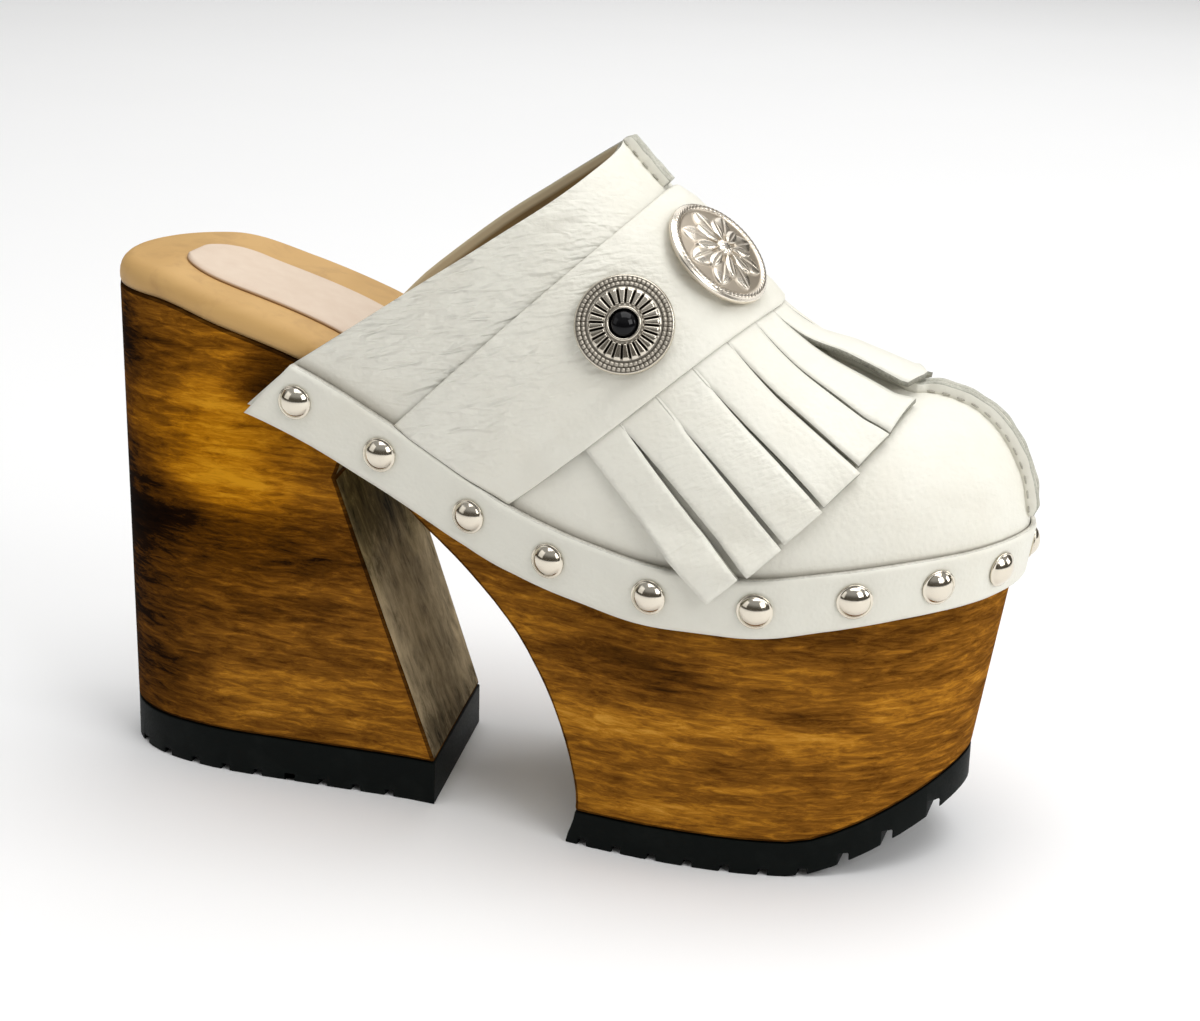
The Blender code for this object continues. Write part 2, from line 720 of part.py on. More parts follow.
def build_strap():
    """Instep strap over the upper, from band to band."""
    across = np.linspace(0.006, 0.994, 43)
    share = np.array([0.0, 0.27, 0.53, 0.78, 0.88, 1.0])
    mesh = shell("concho_strap", strap_grid(across, share, STRAP_THICK), strap_grid(across, share, 0.0))
    add_part("concho_strap", mesh, "white_leather", WHITE_LEATHER)


def walk(along, across, direction, length, steps):
    """Straightest path over the upper: its points' shares and its directions."""
    path = []
    for k in range(steps + 1):
        toward, over, normal = upper_slopes(along, across)
        direction = direction - normal * (direction @ normal)
        direction = direction / np.linalg.norm(direction)
        path.append((along, across, np.cross(normal, direction)))
        move = np.linalg.lstsq(np.column_stack([toward, over]), direction * length / steps, rcond=None)[0]
        along, across = along + move[0], across + move[1]
    return path


def strip_roots():
    """Middle of each strip on the strap's front edge, at even distances from the ridge."""
    across = np.linspace(0.02, 0.98, 481)
    edge = upper(strap_front(across), across)
    distance = np.concatenate(([0.0], np.cumsum(np.linalg.norm(np.diff(edge, axis=0), axis=1))))
    distance = distance - np.interp(0.5, across, distance)
    order = np.arange(-STRIPS_PER_SIDE, STRIPS_PER_SIDE + 1)
    return order, np.interp(order * STRIP_PITCH, distance, across)


def build_fringe():
    """Fringe: strips cut from one piece, joined at a root under the strap."""
    steps = 8
    edges = []
    for number, across in zip(*strip_roots()):
        less, more = across - 0.01, across + 0.01
        edge = upper(strap_front(more), more) - upper(strap_front(less), less)
        normal = upper_slopes(strap_front(across), across)[2]
        forward = np.cross(edge, normal)
        forward = forward / np.linalg.norm(forward)
        long = STRIP_LENGTHS[abs(number)]
        start = walk(strap_front(across), across, -forward, ROOT_TUCK, 1)[-1]
        path = walk(start[0], start[1], forward, long + ROOT_TUCK, steps)
        lines = []
        for k, (a, c, sideways) in enumerate(path):
            share = k / steps
            wide = STRIP_PITCH if k < 2 else STRIP_WIDE
            past_rim = np.clip((0.07 - min(c, 1 - c)) / 0.05, 0, 1)
            off = 1.5 * GAP + 0.7 * share ** 2 + past_rim * (BAND_THICK + 1.5 * GAP)
            toward, over, normal = upper_slopes(a, c)
            jacobian = np.column_stack([toward, over])
            shift = np.linalg.lstsq(jacobian, sideways * wide / 2, rcond=None)[0]
            left = on_upper(a - shift[0], c - shift[1], off)
            right = on_upper(a + shift[0], c + shift[1], off)
            lines.append((left, on_upper(a, c, off), right))
        edges.append(lines)
    for first, second in zip(edges[:-1], edges[1:]):
        for k in (0, 1):
            pairs = [(i, j) for i in (0, 2) for j in (0, 2)]
            i, j = min(pairs, key=lambda n: np.linalg.norm(first[k][n[0]] - second[k][n[1]]))
            middle = (first[k][i] + second[k][j]) / 2
            first[k] = tuple(middle if n == i else p for n, p in enumerate(first[k]))
            second[k] = tuple(middle if n == j else p for n, p in enumerate(second[k]))
    points = np.array(edges).reshape(-1, 3)
    faces = []
    for strip in range(len(edges)):
        base = strip * (steps + 1) * 3
        for k in range(steps):
            for j in range(2):
                a = base + k * 3 + j
                faces.append((a, a + 1, a + 4, a + 3))
    mesh = add_mesh("fringe", points, faces)
    part = add_part("fringe", mesh, "white_leather", WHITE_LEATHER)
    part.data.update()
    outward = upper_slopes(0.5, 0.3)[2]
    nearest = min(part.data.polygons, key=lambda f: (Vector(upper(0.5, 0.3)) * MM - f.center).length)
    if Vector(outward).dot(nearest.normal) < 0:
        part.data.flip_normals()
    thick = part.modifiers.new("thickness", "SOLIDIFY")
    thick.thickness = STRIP_THICK * MM
    thick.offset = 1.0


def build_conchos():
    """Medallion on the ridge and a sunburst with a stone on each side of the strap."""
    face = strap_grid(np.linspace(0.01, 0.99, 197), np.linspace(0, 1, 41), STRAP_THICK).reshape(-1, 3)
    side = turned("side_concho", SIDE_CONCHO_PROFILE, 22)
    stone = turned("stone", STONE_PROFILE, 14)
    front = turned("front_concho", FRONT_CONCHO_PROFILE, 26)
    for place in CONCHOS:
        wide = FRONT_CONCHO if place.name == "front" else SIDE_CONCHO
        normal = upper_slopes(place.along, place.across)[2]
        reach = face - upper(place.along, place.across)
        rise = reach @ normal
        under = np.linalg.norm(reach - rise[:, None] * normal, axis=1) < wide / 2 + 0.5
        point = upper(place.along, place.across) + normal * (rise[under & (rise > 0)].max() + GAP)
        disc = front if place.name == "front" else side
        seat(add_part("concho_" + place.name, disc, "silver", SILVER), point, normal)
        if place.name != "front":
            seat(add_part("stone_" + place.name, stone, "black_stone", BLACK_STONE), point, normal)


def centre_on_floor():
    """Move the whole clog so that its box stands centred on the origin."""
    bpy.context.view_layer.update()
    graph = bpy.context.evaluated_depsgraph_get()
    low, high = Vector((1e9, 1e9, 1e9)), Vector((-1e9, -1e9, -1e9))
    for part in PARTS.objects:
        if part.type != "MESH":
            continue
        solid = part.evaluated_get(graph)
        for vert in solid.data.vertices:
            place = solid.matrix_world @ vert.co
            low = Vector(map(min, low, place))
            high = Vector(map(max, high, place))
    CLOG.location = (-(low.x + high.x) / 2, -(low.y + high.y) / 2, -low.z)


clear_scene()
PARTS = new_collection("Platform clog")
CUTTERS = new_collection("Platform clog cutters")
CLOG = bpy.data.objects.new("clog", None)
PARTS.objects.link(CLOG)
build_sole()
build_upper()
build_band()
build_strap()
build_fringe()
build_conchos()
centre_on_floor()
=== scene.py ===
"""Looks of the platform clog: leather, wood, rubber and metal dressed over the fixed frame.

Shapes are worked out in the shoe's own millimetres: stations run from the heel's back to the toe, minus y is
the outer side and z is the height over the floor. row_frame carries them to the frame's metres.
"""

import math
from collections import namedtuple

import bmesh
import bpy
import numpy as np
from mathutils import Matrix, Vector


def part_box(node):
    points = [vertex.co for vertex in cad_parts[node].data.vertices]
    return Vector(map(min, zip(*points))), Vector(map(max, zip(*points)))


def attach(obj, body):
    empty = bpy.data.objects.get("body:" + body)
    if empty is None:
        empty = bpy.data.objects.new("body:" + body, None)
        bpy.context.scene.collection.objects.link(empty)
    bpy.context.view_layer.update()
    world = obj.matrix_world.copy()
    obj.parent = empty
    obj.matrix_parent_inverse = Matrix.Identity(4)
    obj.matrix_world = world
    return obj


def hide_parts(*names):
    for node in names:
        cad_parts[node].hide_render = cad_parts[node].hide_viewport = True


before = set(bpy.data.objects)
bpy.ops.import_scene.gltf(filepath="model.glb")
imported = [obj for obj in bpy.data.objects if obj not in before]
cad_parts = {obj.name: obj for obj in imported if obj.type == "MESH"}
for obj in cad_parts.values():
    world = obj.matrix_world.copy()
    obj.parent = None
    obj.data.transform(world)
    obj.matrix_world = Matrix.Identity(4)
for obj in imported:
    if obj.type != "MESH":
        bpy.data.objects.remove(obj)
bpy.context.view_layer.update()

MM = 0.001
BODY = "root"

# Sizes shared with the solids
GAP = 0.3
WALL = 1.9
FOOTBED_THICK = 7.0
INSIDE_UPPER = 1.0
LABEL_REAR = 19.0
LABEL_FRONT = 112.0
LABEL_WIDE = 28.0
LABEL_MID = -4.0
LABEL_THICK = 1.2
COLLAR_STATION = 59.0
COLLAR_SHEAR = 12.5
SHEAR_REACH = 40.0
RIDGE_MID = 2.0
FULL_LATERAL = 2.6
FULL_MEDIAL = 2.3
FULL_TOE = 2.15
BELLY_LATERAL = 5.0
BELLY_MEDIAL = 2.5
BAND_REAR = 16.0
BAND_TOE = 12.8
BAND_THICK = 2.2
STRAP_THICK = 2.0
STRIPS_PER_SIDE = 6
STRIP_PITCH = 10.3
STRIP_THICK = 1.4
STRIP_REACH = 46.0
ROOT_TUCK = 3.5
FRONT_CONCHO = 28.0
SIDE_CONCHO = 23.0
STUD_RADIUS = 4.2

# Sizes that only the looks have
LINING = 0.7
STRAP_EDGE = 0.85
STRAP_BACK_EDGE = 1.0
STRIP_ROOT_THICK = 0.7
SEAM_LIFT = 2.2
SEAM_DIP = 1.7
COLLAR_HEM = 1.9
COLLAR_LEAN = (-0.66, 0.10, 0.74)
# Painted shadow line, with some dirt, along the upper's lower rim under the band's top edge: its strength,
# and its reach across the hide in millimetres
BAND_SHADOW_AND_DIRT = 5.0
BAND_SHADOW_REACH = 1.3
SNUG_REACH = 75.0
SNUG_TOE = 0.42
CUT_EDGE = 0.35
STRIP_EDGE = 0.2
STONE = 6.2
TREAD_SQUARE = 130.6
ARCH_REAR = 60.0
ARCH_FRONT = 140.0
ARCH_HIGH = 95.0

# Places along the upper, as shares of its length from collar to toe
FULL_START = 0.3
FULL_SPAN = 0.4
TOE_START = 0.35
TOE_FULL = 0.75
BELLY_END = 0.5
DIP_START = 0.27
DIP_FULL = 0.39
DIP_FADE = 0.65
DIP_END = 0.71
COLLAR_REACH = 0.13
STRAP_REAR_LOW = 0.137
STRAP_REAR_TOP = 0.115
STRAP_FRONT_LOW = 0.298
STRAP_FRONT_TOP = 0.382

# Steps that measure the upper's slopes, and where they stop short of the toe
SLOPE_STEP = 0.004
SLOPE_END = 0.994
ACROSS_STEP = 0.003

# Millimetres to one share of the upper: on the hide laid flat, at the collar's trim and hem, in the crinkle
HIDE_LONG = 165.0
HIDE_GIRTH = 150.0
TRIM_RUN = 145.0
HEM_RUN = 139.0
CRINKLE_RUN = 190.0

# Where strap and fringe start on the hide laid flat, so that no two pieces repeat their wrinkles
STRAP_HIDE = 300.0
FRINGE_HIDE = 600.0

# Fringe, from the middle strip outward: strip lengths and turns away from the ridge in degrees,
# then where each cut starts and how wide it gapes
STRIP_LENGTHS = (39.0, 42.6, 42.8, 44.1, 44.6, 45.0, 44.0)
STRIP_TURNS = (0.0, 4.0, 2.0, 0.0, -1.0, -2.5, -4.7)
SLIT_STARTS = (1.5, 1.5, 3.0, 7.0, 10.5, 2.5)
SLIT_WIDTHS = (2.6, 0.8, 0.9, 0.9, 1.1, 1.7)
SLIT_OPENING = 26.0
UNCUT_OVERLAP = 0.7

# Seam: the lips' size, then where the rear and front runs end, and what the middle strip covers
LIP_WIDE = 2.1
LIP_HIGH = 2.5
LIP_FLARE = 1.4
SEAM_REAR = 0.108
SEAM_FRONT = 0.42
SEAM_TOE = 0.985
COVER_REAR = 0.36
COVER_FRONT = 0.685
STITCH_FRONT = 0.67
STITCH_PITCH = 3.6
STITCH_LONG = 2.0
STITCH_THICK = 0.5

# Camera, in the shoe's millimetres and in photograph pixels
PHOTO_WIDE = 1200.0
PHOTO_FOCUS = 1629.26
CAMERA_EYE = (295.8, -555.5, 265.8)
CAMERA_AZIMUTH = 26.43
CAMERA_ELEVATION = 17.09
CAMERA_ROLL = -1.15
PHOTO_CENTRE = (600.0, 510.5)
SHOE_CENTRE = (858.0, 548.0)
CLOSER = 1.52

# Nails, as distances along the two sides of the band, and discs, as shares along and across the upper
Nail = namedtuple("Nail", "lateral medial")
NAILS = (
    Nail(14.8, 7.0),
    Nail(33.5, 29.0),
    Nail(52.5, 51.0),
    Nail(73.8, 73.5),
    Nail(97.9, 96.5),
    Nail(123.8, 120.0),
    Nail(145.4, 143.5),
    Nail(169.6, 166.5),
    Nail(191.7, 187.5),
)
Place = namedtuple("Place", "name along across")
CONCHOS = (
    Place("front", 0.2565, 0.410),
    Place("lateral", 0.2423, 0.235),
    Place("medial", 0.2423, 0.765),
)

# The sole from heel to toe: its outline at top and bottom, then the heights along it
Rim = namedtuple("Rim", "station lateral medial low_station low_lateral low_medial")
OUTLINE = (
    Rim(0.0, 0.0, 0.0, 1.0, 0.0, 0.0),
    Rim(4.0, 14.5, 14.5, 5.0, 13.6, 13.6),
    Rim(14.0, 23.6, 23.8, 15.0, 22.2, 22.0),
    Rim(32.0, 28.6, 28.8, 32.0, 26.8, 26.0),
    Rim(60.0, 29.2, 29.0, 60.0, 27.2, 26.0),
    Rim(95.0, 31.0, 29.8, 95.0, 27.6, 26.2),
    Rim(130.0, 36.9, 34.9, 130.0, 35.8, 33.6),
    Rim(158.0, 41.2, 39.7, 157.0, 38.6, 36.7),
    Rim(182.0, 40.1, 40.4, 180.0, 36.8, 36.9),
    Rim(204.0, 33.0, 34.4, 200.0, 29.3, 30.4),
    Rim(218.5, 21.8, 24.0, 212.5, 19.1, 21.0),
    Rim(226.8, 9.4, 13.4, 219.2, 8.4, 11.6),
    Rim(230.0, -2.0, 2.0, 221.5, -1.5, 1.5),
)
Level = namedtuple("Level", "station height")
WOOD_TOP = (
    Level(0.0, 122.5),
    Level(18.0, 122.2),
    Level(38.0, 117.4),
    Level(60.0, 110.8),
    Level(83.0, 100.2),
    Level(105.0, 89.2),
    Level(118.0, 83.8),
    Level(136.0, 79.2),
    Level(157.0, 76.5),
    Level(172.0, 76.3),
    Level(192.0, 79.0),
    Level(210.0, 81.4),
    Level(230.0, 82.4),
)
RUBBER_TOP = (
    Level(0.0, 11.0),
    Level(98.0, 11.0),
    Level(126.0, 8.5),
    Level(230.0, 8.5),
)
SPRING = (
    Level(0.0, 0.0),
    Level(187.0, 0.0),
    Level(194.0, 1.9),
    Level(200.0, 4.3),
    Level(204.7, 6.5),
    Level(212.5, 10.6),
    Level(221.5, 16.0),
)
INSTEP = (
    Level(129.0, 165.5),
    Level(140.0, 154.5),
    Level(152.0, 144.0),
    Level(162.0, 134.6),
    Level(172.0, 126.4),
    Level(182.0, 121.2),
    Level(195.0, 116.6),
    Level(207.3, 112.4),
    Level(212.0, 111.4),
    Level(216.2, 110.0),
    Level(219.8, 107.8),
    Level(223.0, 104.8),
    Level(225.6, 101.3),
    Level(227.9, 97.2),
    Level(229.7, 92.0),
)

# How far the collar is trimmed (below zero) or leans out, and the section of the footbed's edge
Collar = namedtuple("Collar", "across back")
COLLAR_EDGE = (
    Collar(0.0, 0.0),
    Collar(0.06, -0.8),
    Collar(0.125, -1.6),
    Collar(0.20, -2.7),
    Collar(0.29, -3.5),
    Collar(0.375, -2.8),
    Collar(0.458, -1.5),
    Collar(0.50, -0.2),
    Collar(0.62, 0.2),
    Collar(0.70, 1.0),
    Collar(0.78, 2.0),
    Collar(0.86, 3.0),
    Collar(0.94, 2.4),
    Collar(1.0, 0.0),
)
Edge = namedtuple("Edge", "inset height")
FOOTBED_EDGE = (
    Edge(0.3, GAP),
    Edge(0.05, 1.2),
    Edge(0.0, 2.2),
    Edge(0.12, 3.4),
    Edge(0.5, 4.6),
    Edge(1.05, 5.5),
    Edge(1.8, 6.2),
    Edge(2.7, 6.7),
    Edge(3.8, FOOTBED_THICK),
)

# Creases of the leather: two ends on the upper, as shares along and across it, then sizes in millimetres
Crease = namedtuple("Crease", "along across to_along to_across wide deep")


def inner_side(creases):
    """The same creases on the inner side of the shoe."""
    return tuple(c._replace(across=1 - c.across, to_across=1 - c.to_across) for c in creases)


QUARTER_CREASES = (
    Crease(0.030, 0.055, 0.052, 0.190, 1.6, 0.20),
    Crease(0.062, 0.050, 0.070, 0.150, 1.4, 0.18),
    Crease(0.094, 0.060, 0.088, 0.215, 1.5, 0.20),
    Crease(0.050, 0.215, 0.074, 0.330, 1.5, 0.28),
    Crease(0.020, 0.240, 0.036, 0.340, 1.3, 0.22),
)
STRAP_SIDE_CREASES = (
    Crease(0.160, 0.060, 0.172, 0.170, 1.6, 0.18),
    Crease(0.186, 0.075, 0.200, 0.205, 1.5, 0.26),
    Crease(0.146, 0.200, 0.160, 0.290, 1.5, 0.24),
    Crease(0.218, 0.045, 0.232, 0.150, 1.8, 0.22),
)
VAMP_CREASES = (
    Crease(0.560, 0.070, 0.660, 0.100, 2.4, 0.20),
    Crease(0.800, 0.140, 0.900, 0.230, 3.0, 0.16),
)
UPPER_CREASES = (QUARTER_CREASES + inner_side(QUARTER_CREASES[:4])
                 + VAMP_CREASES + inner_side(VAMP_CREASES[:1]))
STRAP_CREASES = STRAP_SIDE_CREASES + inner_side(STRAP_SIDE_CREASES[:2] + STRAP_SIDE_CREASES[3:])

# Colours, as linear red, green and blue
HIDE = (0.876, 0.857, 0.76)
BAND_HIDE = (0.828, 0.812, 0.718)
HIDE_AGED = (0.74, 0.69, 0.57)
# Painted shade for the folds and the other places that the crease tag marks
HIDE_FOLD_SHADE = (0.50, 0.47, 0.40)
CUT_EDGE_TINTS = ((0.18, 0.175, 0.145), (0.44, 0.43, 0.36))
SEAM_EDGE_TINTS = ((0.34, 0.335, 0.28), (0.62, 0.61, 0.53))
PALE_EDGE_TINTS = ((0.52, 0.50, 0.44), (0.80, 0.78, 0.71))
THREAD_TINTS = ((0.34, 0.32, 0.265), (0.60, 0.58, 0.50))
LINING_TINTS = ((0.20, 0.135, 0.045), (0.31, 0.215, 0.09))
LINING_WORN = (0.09, 0.055, 0.03)
LINING_HEM = (0.66, 0.58, 0.40)
BOARD_TINTS = ((0.50, 0.292, 0.10), (0.68, 0.43, 0.172))
BOARD_WORN = (0.36, 0.20, 0.08)
BOARD_JOINT = (0.06, 0.028, 0.01)
LABEL_TINTS = ((0.66, 0.51, 0.385), (0.75, 0.62, 0.49))
LABEL_RIM = (0.36, 0.21, 0.10)
RUBBER_TINTS = ((0.003, 0.0045, 0.004), (0.007, 0.009, 0.008))
STONE_TINTS = ((0.002, 0.002, 0.0025), (0.005, 0.005, 0.006))
NICKEL_TINTS = ((0.74, 0.68, 0.57), (0.10, 0.09, 0.08))
SILVER_TINTS = ((0.69, 0.635, 0.54), (0.030, 0.022, 0.014))
WORN_SILVER_TINTS = ((0.86, 0.79, 0.68), (0.24, 0.18, 0.115))
FLOOR_TINTS = ((0.93, 0.93, 0.93), (0.95, 0.95, 0.95))

# Wood: places of five colours on a scale of tones, the colours from dark to pale, the lacquer's amber,
# and how far the scale goes on below the darkest colour
TONES = (0.0, 0.30, 0.50, 0.66, 0.86)
WOOD_COLOURS = (
    (0.012, 0.0042, 0.001),
    (0.117, 0.043, 0.005),
    (0.25, 0.098, 0.011),
    (0.45, 0.187, 0.017),
    (0.65, 0.315, 0.044),
)
CUT_COLOURS = (
    (0.022, 0.018, 0.012),
    (0.17, 0.132, 0.078),
    (0.36, 0.285, 0.175),
    (0.50, 0.395, 0.245),
    (0.64, 0.51, 0.32),
)
EDGE_COLOURS = (
    (0.010, 0.004, 0.001),
    (0.035, 0.013, 0.002),
    (0.075, 0.029, 0.004),
    (0.14, 0.058, 0.008),
    (0.24, 0.11, 0.02),
)
AMBER_TINT = (1.0, 0.91, 0.27)
DARK_ROOM = 0.25

# Patches on the wood's sides: where the stain lies darker or lighter, and where the amber shows; the ones
# marked below are painted shadow
Patch = namedtuple("Patch", "station height long high strength")
SIDE_STAINS_AND_SHADOW = (
    Patch(-8.0, 70.0, 27.0, 150.0, 0.30),
    Patch(5.0, 60.0, 32.0, 150.0, 0.15),
    Patch(13.0, 66.0, 15.0, 14.0, 0.19),
    Patch(48.0, 34.0, 60.0, 30.0, 0.08),
    Patch(40.0, 64.0, 56.0, 10.0, 0.31),
    Patch(34.0, 48.0, 40.0, 14.0, 0.12),
    Patch(53.0, 107.0, 14.0, 9.0, 0.42),
    Patch(34.0, 90.0, 30.0, 22.0, -0.24),
    Patch(38.0, 84.0, 16.0, 12.0, -0.06),
    Patch(62.0, 22.0, 42.0, 11.0, -0.08),
    Patch(22.0, 22.0, 20.0, 16.0, 0.12),
    Patch(78.0, 60.0, 8.0, 30.0, 0.12),
    Patch(146.0, 50.0, 26.0, 6.0, 0.22),
    Patch(160.0, 34.0, 52.0, 6.0, -0.17),
    Patch(188.0, 41.0, 14.0, 4.0, 0.22),
    Patch(214.0, 40.0, 14.0, 30.0, -0.02),
    Patch(118.0, 58.0, 15.0, 8.0, -0.12),
    # Painted shadow under the band's low edge on the forefoot
    Patch(172.0, 66.0, 60.0, 6.0, 0.14),
    Patch(150.0, 12.0, 40.0, 7.0, -0.10),
)
AMBER = (
    Patch(36.0, 84.0, 44.0, 44.0, 1.0),
)
CUT_STAINS_AND_SHADOW = (
    # Painted shadow, with dark smears, over the upper part of the heel's breast
    Patch(74.0, 72.0, 20.0, 16.0, 0.30),
    Patch(86.0, 36.0, 16.0, 18.0, -0.10),
    Patch(92.0, 14.0, 16.0, 6.0, 0.16),
)

# Flower of the front disc: rings of petals, with their radii in millimetres
Petals = namedtuple("Petals", "count phase inner outer fat high")
ROSETTE = (
    Petals(8, 0.5, 4.6, 11.3, 0.92, 0.62),
    Petals(8, 0.0, 1.9, 8.4, 0.86, 0.95),
)

# Area lights, in metres and watts
Lamp = namedtuple("Lamp", "name place aim wide power")
LAMPS = (
    Lamp("overhead", (0.30, 0.10, 2.60), (0.0, 0.0, 0.05), 2.6, 52.0),
    Lamp("front_right", (1.25, -0.70, 0.95), (0.02, 0.0, 0.08), 0.8, 8.5),
    Lamp("left_fill", (-1.25, -0.80, 0.80), (0.0, 0.0, 0.08), 1.0, 2.4),
    Lamp("behind", (-0.2, 1.5, 1.1), (0.0, 0.0, 0.08), 1.2, 4.0),
    Lamp("right_rim", (1.30, 0.45, 0.55), (0.08, 0.0, 0.06), 0.5, 3.0),
)
SKY = ((0.0, (0.20, 0.18, 0.15)), (0.32, (0.26, 0.24, 0.21)), (0.60, 0.95), (1.0, 1.0))
SKY_STRENGTH = 0.38
FLOOR_REACH = 14.0
SENSOR = 36.0


# Shape of the last

def smooth(rows, at):
    """Height at a station, on a curve through the rows that never overshoots them."""
    xs, ys = np.array(rows, float).T
    step = np.diff(xs)
    rise = np.diff(ys) / step
    both = rise[:-1] * rise[1:]
    total = rise[:-1] + rise[1:]
    inner = np.where(both > 0, 2 * both / np.where(both > 0, total, 1), 0)
    slope = np.concatenate(([rise[0]], inner, [rise[-1]]))
    at = np.asarray(at, float)
    i = np.clip(np.searchsorted(xs, at) - 1, 0, len(xs) - 2)
    h = step[i]
    t = (at - xs[i]) / h
    start = (1 - t) ** 2 * ((1 + 2 * t) * ys[i] + t * h * slope[i])
    end = t * t * ((3 - 2 * t) * ys[i + 1] + (t - 1) * h * slope[i + 1])
    return start + end


def ease(x):
    """Soft step from 0 to 1."""
    x = np.clip(x, 0, 1)
    return x * x * (3 - 2 * x)


def fade(value, start, full):
    """Soft step from 0 at start to 1 at full, which may lie on either side of it."""
    return ease((np.asarray(value) - start) / (full - start))


def run_length(points):
    """Distance along a row of points, from the first."""
    return np.concatenate(([0.0], np.cumsum(np.linalg.norm(np.diff(points, axis=0), axis=1))))


def unit(directions):
    """Directions of length one."""
    return directions / np.linalg.norm(directions, axis=-1, keepdims=True)


def between(at, places, rows):
    """Every column of rows, read between the places that the rows stand at."""
    return np.stack([np.interp(at, places, column) for column in rows.T], -1)


def through(points, per_span, closed=False):
    """Centripetal curve through the points."""
    p = np.array(points, float)
    n = len(p)
    found = []
    for i in range(n if closed else n - 1):
        b, c = p[i], p[(i + 1) % n]
        a = p[i - 1] if closed or i else 2 * b - c
        d = p[(i + 2) % n] if closed or i + 2 < n else 2 * c - b
        ta, tb, tc = np.cumsum([np.linalg.norm(q) ** 0.5 for q in (b - a, c - b, d - c)])
        for t in np.linspace(ta, tb, per_span, endpoint=False):
            ab = (a * (ta - t) + b * t) / ta
            bc = (b * (tb - t) + c * (t - ta)) / (tb - ta)
            cd = (c * (tc - t) + d * (t - tb)) / (tc - tb)
            abc = (ab * (tb - t) + bc * t) / tb
            bcd = (bc * (tc - t) + cd * (t - ta)) / (tc - ta)
            found.append((abc * (tb - t) + bcd * (t - ta)) / (tb - ta))
    return np.array(found if closed else found + [p[-1]])


def rim_loop(per_span, low=False):
    """Sole outline seen from above: heel back, outer side, toe tip, inner side."""
    if low:
        rows = [(r.low_station, r.low_lateral, r.low_medial) for r in OUTLINE]
    else:
        rows = [(r.station, r.lateral, r.medial) for r in OUTLINE]
    lateral = [(x, -y) for x, y, _ in rows]
    medial = [(x, y) for x, _, y in rows[-2:0:-1]]
    return through(lateral + medial, per_span, closed=True)


def loop_normals(loop):
    """Outward directions along a loop that runs anticlockwise from above."""
    along = np.roll(loop, -1, 0) - np.roll(loop, 1, 0)
    out = np.stack([along[:, 1], -along[:, 0]], 1)
    return unit(out)


class Side:
    """One side of the sole's rim, measured back from the toe tip."""

    def __init__(self, sign, per_span=60):
        top, low = rim_loop(per_span), rim_loop(per_span, low=True)
        out = loop_normals(top)
        toe = (len(OUTLINE) - 1) * per_span
        order = np.arange(toe, -1, -1) if sign < 0 else np.arange(toe, len(top) + 1) % len(top)
        floor = smooth(RUBBER_TOP, low[:, 0]) + smooth(SPRING, low[:, 0])
        self.top = np.column_stack([top, smooth(WOOD_TOP, top[:, 0])])[order]
        self.low = np.column_stack([low, floor])[order]
        self.out = np.column_stack([out, np.zeros(len(out))])[order]
        self.distance = run_length(self.top[:, :2])
        self.length = self.distance[np.argmax(self.top[:, 0] <= COLLAR_STATION)]

    def pick(self, rows, distance):
        return between(distance, self.distance, rows)

    def wall(self, distance, drop, out):
        """Point on the wood's side, a drop below its top edge, moved out from it."""
        top, low = self.pick(self.top, distance), self.pick(self.low, distance)
        share = np.asarray(drop) / (top[..., 2] - low[..., 2])
        direction = unit(self.pick(self.out, distance))
        return top + (low - top) * share[..., None] + direction * np.asarray(out)[..., None]

    def band_drop(self, distance):
        """Height of the band, measured straight down from the wood's top edge."""
        here, ahead = self.pick(self.top, distance + 1.0), self.pick(self.top, distance - 1.0)
        slope = (here[..., 2] - ahead[..., 2]) / 2.0
        wide = BAND_TOE + (BAND_REAR - BAND_TOE) * np.asarray(distance) / self.length
        return wide * np.sqrt(1 + slope ** 2)

    def shear(self, distance):
        """How far the band's low edge runs back past its top edge, at the diagonal rear cut."""
        near = np.clip(1 - (self.length - np.asarray(distance)) / SHEAR_REACH, 0, None)
        return COLLAR_SHEAR * near ** 2


def snug(distance):
    """Share of the leather's full thickness at the rim, which is drawn thin round the toe."""
    return SNUG_TOE + (1 - SNUG_TOE) * ease(np.asarray(distance) / SNUG_REACH)


LATERAL, MEDIAL = Side(-1), Side(1)
TOE = LATERAL.wall(np.array(0.0), 0.0, GAP + WALL * SNUG_TOE)
RIDGE = through([(r.station, r.height) for r in INSTEP] + [(TOE[0], TOE[2])], 60)
RIDGE_SHARE = run_length(RIDGE) / run_length(RIDGE)[-1]


